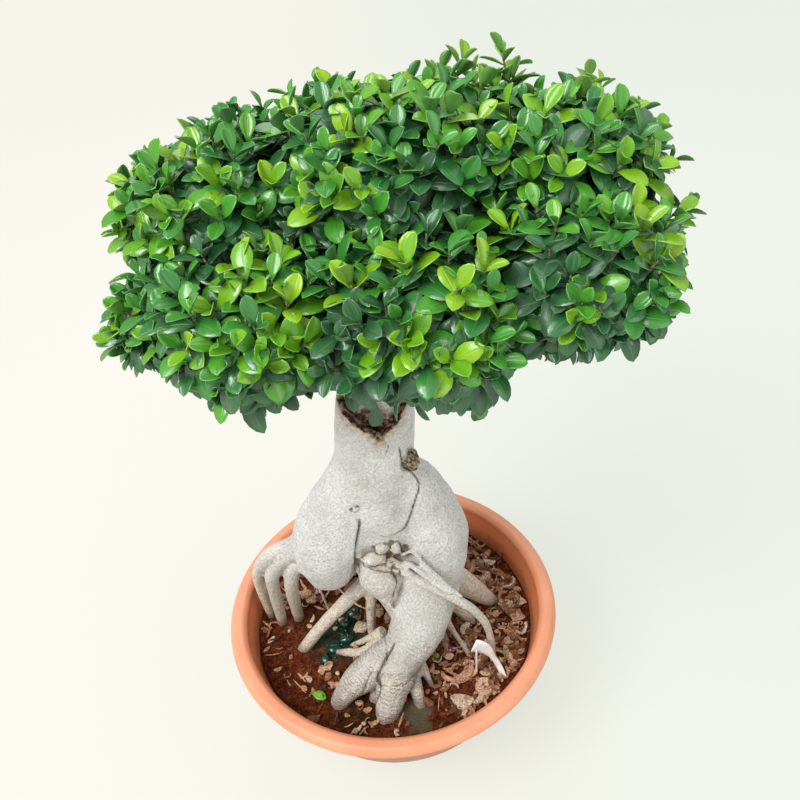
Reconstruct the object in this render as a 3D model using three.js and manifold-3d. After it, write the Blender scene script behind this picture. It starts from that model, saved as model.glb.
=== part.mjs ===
// Panda ficus bonsai in a round plastic bowl: pot, soil, one rootstock with its roots and branches,
// a crown of leafy pads, and the small things that lie on the soil.
// Millimetres, +Z up. The origin is on the floor under the middle of the pot, and -Y is the front.
import * as THREE from "three";
import { mergeVertices } from "three/addons/utils/BufferGeometryUtils.js";
import Module from "manifold-3d";

const wasm = await Module();
wasm.setup();

// Driving dimensions
const POT_RADIUS = 200;
const POT_HEIGHT = 167;
const LIP_WIDTH = 21;
const LIP_HEIGHT = 13;
const BODY_INSET = 10;
const BASE_RADIUS = 124;
const WALL = 4;
const FLOOR = 5;
const DRAIN_HOLES = 4;
const DRAIN_RADIUS = 7;
const DRAIN_CIRCLE = 85;
const SOIL_LEVEL = 126;
const SOIL_SWELL = 5;
const CHIPS = 20;
const GAP = 0.5;
const ROUND_END = 12;
const END_RISE = 0.75;
const SHOULDER_WIDTH = 0.7;
const SHOULDER_RISE = 0.5;
const LEAF_LENGTH = 34;
const LEAF_WIDTH = 23;
const LEAF_THICK = 1.6;
const LEAF_FOLD = 0.2;
const LEAF_DROOP = 0.12;
const WHORL_LEAVES = 4;
const WHORL_SPACING = 77;
const WHORL_DEPTH = 2.5;
const UPWARD = 0.14;
const CORE_DEPTH = 23;
const TWIG_RADIUS = 1.8;
const PAD_GAP = 0.4;
const FALLEN_LEAF = [-92, -102];
const LEAF_REST = 3;
const TAG_THICK = 0.8;
const TAG_HEAD = 17;
const TAG_TAIL = 6;

// Rule counts
const POT_SIDES = 30;
const NECK_SIDES = 12;
const BRANCH_SIDES = 5;
const BRANCH_RINGS = 3;
const TWIG_SIDES = 4;
const GOLDEN_TURN = 2.39996;

const v = (x, y, z) => new THREE.Vector3(x, y, z);

// A repeatable run of random numbers between 0 and 1.
function dice(seed) {
  let state = seed;
  return () => {
    state = (state + 0x6d2b79f5) | 0;
    let t = Math.imul(state ^ (state >>> 15), 1 | state);
    t = (t + Math.imul(t ^ (t >>> 7), 61 | t)) ^ t;
    return ((t ^ (t >>> 14)) >>> 0) / 4294967296;
  };
}

// Solids for joining and cutting
function solidOf(geometry) {
  const bare = geometry.clone();
  bare.deleteAttribute("normal");
  bare.deleteAttribute("uv");
  const merged = mergeVertices(bare, 1e-3);
  const mesh = new wasm.Mesh({
    numProp: 3,
    vertProperties: new Float32Array(merged.attributes.position.array),
    triVerts: new Uint32Array(merged.index.array),
  });
  return new wasm.Manifold(mesh);
}

function geometryOf(solid) {
  const mesh = solid.getMesh();
  const geometry = new THREE.BufferGeometry();
  geometry.setAttribute("position", new THREE.BufferAttribute(mesh.vertProperties, 3));
  geometry.setIndex(new THREE.BufferAttribute(mesh.triVerts, 1));
  return geometry;
}

function joined(solids) {
  return wasm.Manifold.union(solids);
}

// The largest body of a solid, which drops scraps that a cut has freed.
function whole(solid) {
  const bodies = solid.decompose();
  return bodies.reduce((best, body) => (body.volume() > best.volume() ? body : best));
}

// A limb is a lathe of its own radii, bent along a curve through its points [x, y, z, radius].
// Its ends are rounded, and grow makes it fatter by that much for a hole that clears it.
function limb(points, sides, rings, grow = 0) {
  const curve = new THREE.CatmullRomCurve3(points.map(([x, y, z]) => v(x, y, z)), false, "centripetal");
  const radii = new THREE.SplineCurve(points.map((p, i) => new THREE.Vector2(i, p[3])));
  const frames = curve.computeFrenetFrames(rings * 4, false);
  const length = curve.getLength();
  const radiusAt = (t) => radii.getPoint(curve.getUtoTmapping(t)).y + grow;
  const start = radiusAt(0);
  const end = radiusAt(1);
  const profile = [new THREE.Vector2(0, -start * SHOULDER_RISE)];
  if (start > ROUND_END) {
    profile.push(new THREE.Vector2(start * SHOULDER_WIDTH, -start * SHOULDER_RISE * SHOULDER_WIDTH));
  }
  for (let i = 0; i <= rings; i++) {
    profile.push(new THREE.Vector2(radiusAt(i / rings), (length * i) / rings));
  }
  if (end > ROUND_END) {
    profile.push(new THREE.Vector2(end * SHOULDER_WIDTH, length + end * SHOULDER_RISE));
  }
  profile.push(new THREE.Vector2(0, length + end * END_RISE));
  const geometry = new THREE.LatheGeometry(profile, sides);
  const place = geometry.attributes.position;
  const p = v(0, 0, 0);
  for (let i = 0; i < place.count; i++) {
    p.fromBufferAttribute(place, i);
    const along = THREE.MathUtils.clamp(p.y / length, 0, 1);
    const frame = Math.round(along * rings * 4);
    const at = curve.getPointAt(along);
    at.addScaledVector(frames.tangents[frame], p.y - along * length);
    at.addScaledVector(frames.normals[frame], p.x);
    at.addScaledVector(frames.binormals[frame], -p.z);
    place.setXYZ(i, at.x, at.y, at.z);
  }
  return solidOf(geometry);
}

// The pot's inner wall, from its floor up: [height, radius].
const INNER_WALL = [
  [FLOOR, BASE_RADIUS - 12],
  [FLOOR + 8, BASE_RADIUS - 3],
  [48, BASE_RADIUS + 24 - WALL],
  [96, BASE_RADIUS + 44 - WALL],
  [POT_HEIGHT - LIP_HEIGHT, POT_RADIUS - LIP_WIDTH],
];

// Pot: one closed profile turned about Z, with drain holes through its floor.
function makePot() {
  const lipBottom = POT_HEIGHT - LIP_HEIGHT;
  const profile = [
    [0, 0],
    [BASE_RADIUS - 4, 0],
    [BASE_RADIUS + 1, 5],
    [BASE_RADIUS + 24, 48],
    [BASE_RADIUS + 44, 96],
    [POT_RADIUS - BODY_INSET, lipBottom],
    [POT_RADIUS - 1, lipBottom],
    [POT_RADIUS, POT_HEIGHT - 7],
    [POT_RADIUS - 6, POT_HEIGHT],
    [POT_RADIUS - LIP_WIDTH + 6, POT_HEIGHT],
    [POT_RADIUS - LIP_WIDTH, POT_HEIGHT - 5],
  ];
  for (const [z, r] of INNER_WALL.toReversed()) {
    profile.push([r, z]);
  }
  profile.push([0, FLOOR]);
  const points = profile.map(([r, z]) => new THREE.Vector2(r, z));
  const bowl = new THREE.LatheGeometry(points, POT_SIDES).rotateX(Math.PI / 2);
  const holes = [];
  for (let i = 0; i < DRAIN_HOLES; i++) {
    const turn = ((i + 0.5) * 2 * Math.PI) / DRAIN_HOLES;
    const hole = new THREE.CylinderGeometry(DRAIN_RADIUS, DRAIN_RADIUS, FLOOR * 4, 8).rotateX(Math.PI / 2);
    holes.push(solidOf(hole.translate(DRAIN_CIRCLE * Math.cos(turn), DRAIN_CIRCLE * Math.sin(turn), 0)));
  }
  return solidOf(bowl).subtract(joined(holes));
}

// Rootstock limbs, each a list of points [x, y, z, radius] from its top or its root's start to its end.
const NECK = [
  [8, 8, 482, 40],
  [3, 6, 433, 42],
  [-1, 4, 386, 43],
  [-2, 0, 338, 42],
  [-1, -4, 282, 34],
  [0, 0, 240, 24],
];
const LEFT_BULB = [
  [-16, 2, 404, 24],
  [-32, -4, 368, 31],
  [-54, -12, 326, 38],
  [-66, -20, 286, 38],
  [-64, -26, 250, 26],
];
const RIGHT_LEG = [
  [16, 0, 392, 22],
  [38, 0, 348, 34],
  [54, -6, 290, 42],
  [46, -30, 234, 39],
  [36, -54, 208, 34],
  [24, -72, 188, 31],
  [4, -90, 166, 27],
];
const MIDDLE_BULB = [
  [-13, -28, 284, 18],
  [-14, -42, 250, 25],
  [-5, -48, 214, 18],
  [3, -48, 184, 8],
];
const CENTRE_ROOT = [
  [4, 14, 270, 30],
  [8, 30, 190, 26],
  [10, 38, 100, 25],
];
const TOES = [
  [[8, -82, 176, 24], [-30, -94, 159, 20], [-53, -102, 143, 16], [-69, -110, 126, 11]],
  [[0, -90, 162, 18], [-20, -104, 138, 11], [-30, -113, 116, 7]],
  [[8, -88, 168, 24], [-4, -110, 150, 19], [-12, -127, 132, 15], [-17, -136, 115, 11]],
  [[16, -86, 152, 13], [21, -110, 138, 8], [26, -128, 116, 6]],
  [[24, -80, 155, 10], [36, -95, 134, 5], [42, -104, 114, 4]],
];
const HAND_ROOTS = [
  [[-76, -20, 304, 12], [-104, -22, 301, 9], [-134, -17, 280, 7], [-156, 4, 220, 6], [-157, 24, 112, 5]],
  [[-80, -24, 297, 12], [-110, -24, 289, 9], [-132, -16, 250, 8], [-140, 0, 196, 7], [-143, 12, 110, 5.5]],
  [[-78, -26, 289, 12], [-100, -26, 276, 9], [-112, -20, 240, 8], [-119, 0, 180, 7], [-122, 18, 108, 6]],
];
const SMALL_ROOTS = [
  [[-8, -18, 244, 12], [-52, -25, 200, 9], [-90, -30, 157, 8], [-126, -35, 107, 8]],
  [[-20, -26, 226, 8], [-26, -29, 168, 6], [-28, -28, 104, 6]],
  [[-14, -62, 164, 9], [-40, -54, 138, 6], [-66, -46, 112, 5]],
  [[-12, -54, 174, 9], [-36, -46, 145, 5], [-60, -40, 112, 4.5]],
  [[48, 6, 222, 18], [78, 10, 190, 13], [104, 14, 158, 11], [140, 18, 106, 8]],
  [[50, -10, 190, 14], [80, -10, 148, 8], [110, -20, 108, 6]],
  [[48, -30, 206, 10], [68, -38, 154, 4.5], [92, -70, 110, 3.5]],
  [[8, -48, 295, 4], [31, -68, 285, 3.5], [56, -77, 260, 4]],
  [[-96, -18, 262, 6], [-85, -10, 215, 2.6], [-76, 6, 112, 2.4]],
];
const CROSSING_ROOT = [
  [-10, -40, 282, 9],
  [6, -55, 280, 7],
  [26, -67, 269, 6.5],
  [48, -75, 252, 6.5],
  [75, -71, 218, 6],
  [97, -66, 184, 5.5],
  [112, -67, 152, 5],
  [116, -73, 106, 4.5],
];
const BACK_ROOTS = [
  [[-46, 4, 300, 26], [-66, 30, 230, 19], [-84, 58, 168, 14], [-100, 78, 104, 10]],
  [[28, 20, 310, 30], [44, 50, 240, 24], [52, 78, 176, 18], [60, 98, 104, 13]],
  [[-6, 28, 300, 22], [-14, 60, 230, 16], [-24, 92, 166, 12], [-32, 112, 104, 9]],
];
const TANGLE = [
  [[-20, -40, 272, 7], [-6, -49, 284, 6], [8, -47, 297, 6]],
  [[-6, -40, 298, 7], [10, -52, 288, 6], [22, -45, 273, 7]],
];
const KNOB = [[30, -8, 418, 9], [38, -23, 409, 8], [40, -25, 402, 6]];

// Branches inside the crown: five limbs from the cut top of the neck, and six that part from them, each
// ending in the middle of a pad.
const BRANCHES = [
  [[6, 10, 450, 20], [2, 8, 520, 15], [14, 12, 590, 11], [34, 16, 668, 7]],
  [[16, 2, 446, 16], [25, -14, 506, 12], [40, -56, 562, 8], [50, -88, 600, 5]],
  [[-8, 4, 450, 18], [-40, 2, 512, 13], [-68, 12, 580, 9], [-90, 22, 648, 6]],
  [[22, 8, 450, 18], [60, 12, 514, 14], [116, 20, 584, 10], [164, 26, 652, 6]],
  [[8, 22, 450, 15], [20, 60, 530, 12], [34, 86, 588, 8], [44, 100, 630, 5]],
  [[-38, 4, 508, 9], [-74, -12, 548, 8], [-104, -20, 582, 6], [-124, -24, 606, 4]],
  [[-30, 0, 498, 9], [-46, -32, 540, 7], [-62, -58, 580, 6], [-72, -72, 610, 4]],
  [[58, 12, 512, 10], [96, -14, 552, 8], [140, -42, 594, 6], [168, -60, 622, 4]],
  [[84, 14, 545, 10], [130, 6, 574, 8], [180, -4, 602, 6], [210, -8, 620, 4]],
  [[12, 40, 492, 10], [-26, 60, 546, 8], [-56, 78, 590, 6], [-72, 88, 622, 4]],
  [[18, 52, 514, 10], [70, 64, 560, 8], [124, 82, 600, 6], [160, 92, 628, 4]],
];

// The cut top of the neck is a ragged V: two wedges are taken out of the neck before the branches join it.
const NOTCHES = [
  { at: [-8, -44, 494], turn: 0.85, size: [70, 76, 40] },
  { at: [28, -42, 492], turn: -0.75, size: [70, 76, 40] },
];

// The limbs that reach into the soil
function footLimbs(grow) {
  const limbs = [limb(CENTRE_ROOT, 7, 2, grow), limb(CROSSING_ROOT, 6, 7, grow)];
  TOES.forEach((toe) => limbs.push(limb(toe, toe[0][3] > 20 ? 8 : 6, 3, grow)));
  HAND_ROOTS.forEach((root) => limbs.push(limb(root, 6, 5, grow)));
  SMALL_ROOTS.forEach((root) => limbs.push(limb(root, 5, 3, grow)));
  BACK_ROOTS.forEach((root) => limbs.push(limb(root, 7, 3, grow)));
  return limbs;
}

function branchLimbs(grow) {
  return BRANCHES.map((branch) => limb(branch, BRANCH_SIDES, BRANCH_RINGS, grow));
}

function makeTrunk() {
  let neck = limb(NECK, NECK_SIDES, 7);
  for (const notch of NOTCHES) {
    const wedge = new THREE.BoxGeometry(...notch.size).rotateY(notch.turn).translate(...notch.at);
    neck = neck.subtract(solidOf(wedge));
  }
  const bulbs = [limb(LEFT_BULB, 12, 7), limb(RIGHT_LEG, 12, 9), limb(MIDDLE_BULB, 10, 5), limb(KNOB, 6, 2)];
  const tangle = TANGLE.map((root) => limb(root, 6, 3));
  return joined([neck, ...bulbs, ...tangle, ...footLimbs(0), ...branchLimbs(0)]);
}

// Height of the soil's surface: a low swell in the middle with small lumps.
function soilHeight(x, y) {
  const r = Math.hypot(x, y);
  const swell = SOIL_SWELL * Math.cos((r / POT_RADIUS) * Math.PI * 0.5);
  const lumps = Math.sin(x * 0.11 + 1.3) * Math.cos(y * 0.13 + 0.4) + Math.sin(x * 0.053 - y * 0.071);
  return SOIL_LEVEL - 2 + swell + lumps;
}

// Soil: a turned filling that follows the pot's inner wall, with a lumpy top, bark chips fused to it and
// a hole for all that stands in it.
function makeSoil(cutters) {
  const random = dice(11);
  const profile = [[0, FLOOR + GAP]];
  for (const [z, r] of INNER_WALL.slice(0, 4)) {
    profile.push([r - 2 * GAP, z + GAP]);
  }
  const rim = profile.at(-1)[0] + 7;
  profile.push([rim, SOIL_LEVEL - 5]);
  for (const share of [0.9, 0.62, 0.3, 0]) {
    profile.push([rim * share, SOIL_LEVEL]);
  }
  const points = profile.map(([r, z]) => new THREE.Vector2(r, z));
  const body = new THREE.LatheGeometry(points, POT_SIDES).rotateX(Math.PI / 2);
  const place = body.attributes.position;
  for (let i = 0; i < place.count; i++) {
    if (place.getZ(i) === SOIL_LEVEL) {
      place.setZ(i, soilHeight(place.getX(i), place.getY(i)));
    }
  }
  const parts = [solidOf(body)];
  for (let i = 0; i < CHIPS; i++) {
    const r = rim * (0.93 * Math.sqrt((i + 0.5) / CHIPS));
    const turn = i * GOLDEN_TURN;
    const x = r * Math.cos(turn);
    const y = r * Math.sin(turn);
    const chip = new THREE.BoxGeometry(10 + 14 * random(), 6 + 8 * random(), 3 + 3 * random());
    chip.rotateX((random() - 0.5) * 1.1).rotateZ(random() * Math.PI).translate(x, y, soilHeight(x, y) + 0.6);
    parts.push(solidOf(chip));
  }
  return whole(joined(parts).subtract(joined(cutters)));
}

// A leaf blade: obovate, smooth-edged and fleshy, thickest in its middle, with its sides turned up a little.
// It grows from the origin along +Y with its upper face to +Z.
function blade(length, width, thick, fold) {
  const half = width / 2;
  const outline = [
    [0, 0],
    [half * 0.7, length * 0.36],
    [half, length * 0.72],
    [0, length],
    [-half, length * 0.72],
    [-half * 0.7, length * 0.36],
  ];
  const places = outline.flatMap(([x, y]) => [x, y, Math.abs(x) * fold - (LEAF_DROOP * y * y) / length]);
  const sag = LEAF_DROOP * 0.3 * length;
  places.push(0, length * 0.58, thick / 2 - sag, 0, length * 0.58, -thick / 2 - sag);
  const faces = [];
  for (let i = 0; i < 6; i++) {
    const j = (i + 1) % 6;
    faces.push(i, j, 6, j, i, 7);
  }
  const geometry = new THREE.BufferGeometry();
  geometry.setAttribute("position", new THREE.Float32BufferAttribute(places, 3));
  geometry.setIndex(faces);
  return geometry;
}

// Pads of the crown: middle and half sizes of each leafy mass, to the tips of its leaves.
const PADS = [
  { name: "foliage_top", at: [38, 20, 712], size: [128, 118, 86] },
  { name: "foliage_top_left", at: [-96, 26, 686], size: [118, 112, 86] },
  { name: "foliage_top_right", at: [180, 28, 695], size: [120, 116, 86] },
  { name: "foliage_back", at: [50, 112, 662], size: [130, 92, 96] },
  { name: "foliage_back_left", at: [-78, 96, 650], size: [112, 92, 86] },
  { name: "foliage_back_right", at: [176, 96, 654], size: [110, 92, 88] },
  { name: "foliage_front", at: [52, -96, 630], size: [112, 94, 90] },
  { name: "foliage_front_left", at: [-76, -76, 632], size: [112, 98, 82] },
  { name: "foliage_front_right", at: [176, -68, 646], size: [108, 98, 82] },
  { name: "foliage_left", at: [-132, -24, 622], size: [90, 90, 68] },
  { name: "foliage_right", at: [222, -8, 636], size: [84, 100, 76] },
];

// Tips of the shoots that stand out of the crown further than the rest. Each grows from the pad it is in.
const SHOOTS = [
  [106, 94, 752],
  [142, 94, 754],
  [214, 82, 736],
  [280, -4, 596],
  [92, -104, 576],
  [14, -84, 556],
  [-194, -28, 608],
  [-108, -100, 588],
];

// The inside of the crown is bare wood: no core and no leaf fills this room round the branches.
const INSIDE = { at: [22, 0, 545], size: [104, 78, 84] };

// The plane that parts two pads, half way between them by size, with its normal towards the first.
function partingPlane(pad, other) {
  const a = v(...pad.at);
  const reach = v(...other.at).sub(a);
  const weight = (p) => ((p.size[0] + p.size[1] + p.size[2]) / 3) ** 2;
  const split = (reach.lengthSq() + weight(pad) - weight(other)) / (2 * reach.length());
  const normal = reach.clone().normalize().negate();
  return new THREE.Plane().setFromNormalAndCoplanarPoint(normal, a.addScaledVector(normal, PAD_GAP - split));
}

const ROOMS = new Map();
for (const pad of PADS) {
  ROOMS.set(pad, PADS.filter((other) => other !== pad).map((other) => partingPlane(pad, other)));
}

// How far a point lies inside a pad's own room.
function roomAt(pad, point) {
  return Math.min(...ROOMS.get(pad).map((plane) => plane.distanceToPoint(point)));
}

// How deep a point lies in an ellipsoid: 1 on its surface, less inside.
function depthIn({ at, size }, point) {
  return Math.hypot((point.x - at[0]) / size[0], (point.y - at[1]) / size[1], (point.z - at[2]) / size[2]);
}

function ellipsoid({ at, size }, inset) {
  const ball = new THREE.IcosahedronGeometry(1, 1);
  ball.scale(size[0] - inset, size[1] - inset, size[2] - inset).translate(...at);
  return solidOf(ball);
}

// All that lies behind a plane, as a large box with one face on it.
function behind(plane, near) {
  const side = 700;
  const foot = plane.projectPoint(near, v(0, 0, 0)).addScaledVector(plane.normal, -side / 2);
  const box = new THREE.BoxGeometry(side, side, side);
  box.applyQuaternion(new THREE.Quaternion().setFromUnitVectors(v(0, 0, 1), plane.normal));
  return solidOf(box.translate(foot.x, foot.y, foot.z));
}

// A pad's core: a smaller ellipsoid inside its room, which the leaves stand out of.
function makeCore(pad) {
  let core = ellipsoid(pad, CORE_DEPTH);
  for (const plane of ROOMS.get(pad)) {
    core = core.subtract(behind(plane, v(...pad.at)));
  }
  return whole(core.subtract(ellipsoid(INSIDE, 0)));
}

// Places for whorls: spread evenly over a pad, just under the surface of its core, and left out where a
// neighbour covers it.
function whorlFeet(pad, core, random) {
  const [a, b, c] = pad.size;
  const middle = v(...pad.at);
  const target = new THREE.Mesh(geometryOf(core));
  const count = Math.round((4 * Math.PI * (a * b + b * c + c * a)) / 3 / WHORL_SPACING ** 2);
  const feet = [];
  for (let i = 0; i < count; i++) {
    const z = 1 - (2 * (i + 0.5)) / count;
    const turn = i * GOLDEN_TURN + random() * 0.4;
    const flat = Math.sqrt(1 - z * z);
    const out = v(a * flat * Math.cos(turn), b * flat * Math.sin(turn), c * z);
    const inward = out.clone().normalize().negate();
    const hits = new THREE.Raycaster(out.add(middle), inward).intersectObject(target);
    if (hits.length > 0) {
      const foot = hits[0].point.addScaledVector(inward, WHORL_DEPTH);
      const covered = PADS.some((other) => other !== pad && depthIn(other, foot) < 0.8);
      if (!covered && roomAt(pad, foot) > 3 && depthIn(INSIDE, foot) > 1.05) {
        feet.push(foot);
      }
    }
  }
  return feet;
}

// Leaves round a point, rooted on a small ring there and turned to the outside of the pad. A leaf that would
// leave the pad's room or cross another is turned up along the shoot, and left out if that isn't enough.
function whorl(pad, foot, random, placed) {
  const [a, b, c] = pad.size;
  const out = foot.clone().sub(v(...pad.at));
  const axis = v(out.x / a ** 2, out.y / b ** 2, out.z / c ** 2).normalize();
  axis.add(v(0, 0, UPWARD)).normalize();
  const stand = new THREE.Quaternion().setFromUnitVectors(v(0, 0, 1), axis);
  const spin = random() * Math.PI;
  for (let i = 0; i < WHORL_LEAVES; i++) {
    const length = LEAF_LENGTH * (0.9 + 0.3 * random());
    const width = LEAF_WIDTH * (0.9 + 0.2 * random());
    const turn = spin + (i * 2 * Math.PI) / WHORL_LEAVES + (random() - 0.5) * 0.3;
    const spread = 0.92 + 0.25 * random();
    for (const lift of [0, 0.25, 0.5]) {
      const leaf = blade(length, width, LEAF_THICK, LEAF_FOLD).translate(0, 1.2, 0);
      leaf.rotateX(Math.PI / 2 - spread + lift).rotateZ(turn).applyQuaternion(stand);
      leaf.translate(foot.x, foot.y, foot.z);
      const solid = solidOf(leaf);
      if (fits(pad, leaf) && placed.every((other) => other.intersect(solid).isEmpty())) {
        placed.push(solid);
        break;
      }
    }
  }
}

// The twig of a shoot, from inside the core to the shoot's tip
function shoot(pad, tip) {
  const root = v(...pad.at).lerp(tip, 0.6);
  const stem = tip.clone().sub(root);
  const twig = new THREE.CylinderGeometry(TWIG_RADIUS, TWIG_RADIUS * 1.5, stem.length() + 2, TWIG_SIDES);
  twig.applyQuaternion(new THREE.Quaternion().setFromUnitVectors(v(0, 1, 0), stem.clone().normalize()));
  twig.translate(...root.addScaledVector(stem, 0.5));
  return solidOf(twig);
}

function fits(pad, geometry) {
  const place = geometry.attributes.position;
  const point = v(0, 0, 0);
  for (let i = 0; i < place.count; i++) {
    if (roomAt(pad, point.fromBufferAttribute(place, i)) < 0) {
      return false;
    }
  }
  return true;
}

function makePad(pad, seed, branchHoles) {
  const random = dice(seed);
  const leaves = [];
  const tips = SHOOTS.map((tip) => v(...tip)).filter((tip) => roomAt(pad, tip) > 0);
  const core = makeCore(pad);
  for (const foot of [...tips, ...whorlFeet(pad, core, random)]) {
    whorl(pad, foot, random, leaves);
  }
  const twigs = tips.map((tip) => shoot(pad, tip));
  return whole(joined([core, ...twigs, ...leaves]).subtract(branchHoles));
}

// Small things on the soil
const PEBBLES = [
  { name: "pebble_dark_green_1", at: [-50, 8], size: [7, 6, 5.5], colour: 0x0d4a38 },
  { name: "pebble_dark_green_2", at: [-62, -6], size: [6.5, 6, 5], colour: 0x0d4a38 },
  { name: "pebble_dark_green_3", at: [-60, -28], size: [8, 6, 5], colour: 0x0d4a38 },
  { name: "pebble_dark_green_4", at: [-76, -40], size: [7, 5.5, 5], colour: 0x0d4a38 },
  { name: "pebble_dark_green_5", at: [-86, -54], size: [6, 6, 5], colour: 0x0d4a38 },
  { name: "pebble_lime", at: [47, -64], size: [5, 4.5, 4], colour: 0x7fc24a },
  { name: "pebble_pink", at: [67, -57], size: [6, 5, 4.5], colour: 0xb5487c },
  { name: "pebble_green", at: [86, -30], size: [5.5, 5, 4], colour: 0x3f8a56 },
];

function pebble({ at: [x, y], size }, grow) {
  const stone = new THREE.IcosahedronGeometry(1, 0);
  stone.scale(size[0] + grow, size[1] + grow, size[2] + grow);
  return solidOf(stone.translate(x, y, soilHeight(x, y) + size[2] * 0.45));
}

// The fallen leaf lies on the soil, a hair above its highest lump.
function fallenLeaf() {
  const [x, y] = FALLEN_LEAF;
  const leaf = blade(26, 17, LEAF_THICK, 0.12).translate(0, -13, 0).rotateX(0.1).rotateZ(-2.1);
  return solidOf(leaf.translate(x, y, soilHeight(x, y) + LEAF_REST));
}

// The tag: a plastic strip, broad at its head, that hangs over the end of the crossing root and stands
// in the soil, with a thin stake at its head.
const TAG_LINE = [
  [90, -84, 157],
  [97, -81, 166],
  [105, -82, 168],
  [112, -85, 160],
  [117, -88, 147],
  [120, -91, 131],
  [121, -92, 107],
];
const TAG_STAKE = [[92, -82, 164], [90, -85, 106]];

function makeTag(grow) {
  const line = TAG_LINE.map((p) => v(...p));
  line.at(-1).z -= grow;
  const curve = new THREE.CatmullRomCurve3(line, false, "centripetal");
  const strip = new THREE.BoxGeometry(1, 1, TAG_THICK + 2 * grow, 1, 10, 1);
  const place = strip.attributes.position;
  for (let i = 0; i < place.count; i++) {
    const t = place.getY(i) + 0.5;
    const taper = THREE.MathUtils.smoothstep(t, 0.15, 0.5);
    const width = THREE.MathUtils.lerp(TAG_HEAD, TAG_TAIL, taper) + 2 * grow;
    const along = curve.getTangentAt(t);
    const face = v(-0.25, -0.9, 0.35).cross(along).cross(along).negate().normalize();
    const across = along.clone().cross(face);
    const at = curve.getPointAt(t);
    at.addScaledVector(across, place.getX(i) * width).addScaledVector(face, place.getZ(i));
    place.setXYZ(i, at.x, at.y, at.z);
  }
  const [top, foot] = TAG_STAKE.map((p) => v(...p));
  const stem = top.clone().sub(foot);
  const stake = new THREE.CylinderGeometry(1.3 + grow, 1.1 + grow, stem.length() + 2 * grow, 5);
  stake.applyQuaternion(new THREE.Quaternion().setFromUnitVectors(v(0, 1, 0), stem.normalize()));
  stake.translate(...top.add(foot).multiplyScalar(0.5));
  return solidOf(strip).add(solidOf(stake));
}

// The whole object
const group = new THREE.Group();

function addPart(name, solid, colour, roughness) {
  const material = new THREE.MeshStandardMaterial({ color: colour, roughness, metalness: 0 });
  const mesh = new THREE.Mesh(geometryOf(solid), material);
  mesh.name = name;
  group.add(mesh);
}

const holes = [joined(footLimbs(GAP)), makeTag(GAP), ...PEBBLES.map((stone) => pebble(stone, GAP))];
const branchHoles = joined(branchLimbs(GAP));

addPart("pot", makePot(), 0xe0895f, 0.55);
addPart("soil", makeSoil(holes), 0x5a2f1d, 0.95);
addPart("trunk", makeTrunk(), 0xd2cdc4, 0.85);
PADS.forEach((pad, i) => addPart(pad.name, makePad(pad, 100 + i, branchHoles), 0x2f7a34, 0.35));
PEBBLES.forEach((stone) => addPart(stone.name, pebble(stone, 0), stone.colour, 0.15));
addPart("fallen_leaf", fallenLeaf(), 0x7ccb2a, 0.4);
addPart("tag", makeTag(0), 0xf2f2ee, 0.45);

export default group;
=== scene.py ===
# %% [markdown]
# # A panda ficus bonsai in its bowl
# The plant is an old, swollen fig rootstock with a crown of small glossy leaves grafted on top. The
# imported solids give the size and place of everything. This lesson keeps them as the frame, and puts finer
# pieces over them: a turned bowl, crumbly soil, a rootstock grown from round limbs, and thousands of
# leaves set by rule.

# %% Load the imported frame
import math
import random

import bmesh
import bpy
import numpy as np
from mathutils import Matrix, Vector, kdtree, noise
from mathutils.bvhtree import BVHTree


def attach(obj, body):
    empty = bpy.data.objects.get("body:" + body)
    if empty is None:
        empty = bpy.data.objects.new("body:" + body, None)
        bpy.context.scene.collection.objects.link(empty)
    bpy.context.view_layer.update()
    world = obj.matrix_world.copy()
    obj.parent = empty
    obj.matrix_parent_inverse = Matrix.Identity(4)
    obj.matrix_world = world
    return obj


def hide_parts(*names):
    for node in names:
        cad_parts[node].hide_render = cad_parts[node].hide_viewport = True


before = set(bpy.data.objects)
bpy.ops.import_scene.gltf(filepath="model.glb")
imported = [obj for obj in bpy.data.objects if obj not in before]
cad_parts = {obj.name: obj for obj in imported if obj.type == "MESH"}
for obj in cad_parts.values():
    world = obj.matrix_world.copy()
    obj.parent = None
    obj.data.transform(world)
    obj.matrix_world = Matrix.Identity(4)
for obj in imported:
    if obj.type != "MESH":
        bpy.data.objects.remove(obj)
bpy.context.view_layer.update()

MM = 0.001
# Without a seed, the noise that gives vectors starts from the clock, and no two runs are the same.
noise.seed_set(5)

# %% [markdown]
# ## Camera, floor and light
# The picture was taken from above the front of the bowl, looking down and a little rolled. The camera is
# a pinhole at a measured place, built from three axes, so that nothing depends on a helper's idea of the
# frame. A pale floor and large soft lamps give the even light of a studio table.

# %% Camera
CAMERA_PLACE = Vector((32, -627, 968)) * MM
LOOK_DOWN = math.radians(38.2)
CAMERA_ROLL = math.radians(-5.1)
PICTURE_SIDE = 800
SENSOR_SIDE = 36

forward = Vector((0, math.cos(LOOK_DOWN), -math.sin(LOOK_DOWN)))
level = Vector((1, 0, 0))
upward = level.cross(forward)
camera_x = level * math.cos(CAMERA_ROLL) + upward * math.sin(CAMERA_ROLL)
camera_y = upward * math.cos(CAMERA_ROLL) - level * math.sin(CAMERA_ROLL)

lens = bpy.data.cameras.new("camera")
lens.lens = SENSOR_SIDE
lens.sensor_width = SENSOR_SIDE
FOCUS = PICTURE_SIDE * lens.lens / lens.sensor_width
camera = bpy.data.objects.new("camera", lens)
bpy.context.collection.objects.link(camera)
camera_turn = Matrix((camera_x, camera_y, -forward)).transposed().to_4x4()
camera.matrix_world = Matrix.Translation(CAMERA_PLACE) @ camera_turn
bpy.context.scene.camera = camera
bpy.context.scene.view_settings.view_transform = "Standard"
print("camera looks down", round(math.degrees(LOOK_DOWN), 1), "degrees")

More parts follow.
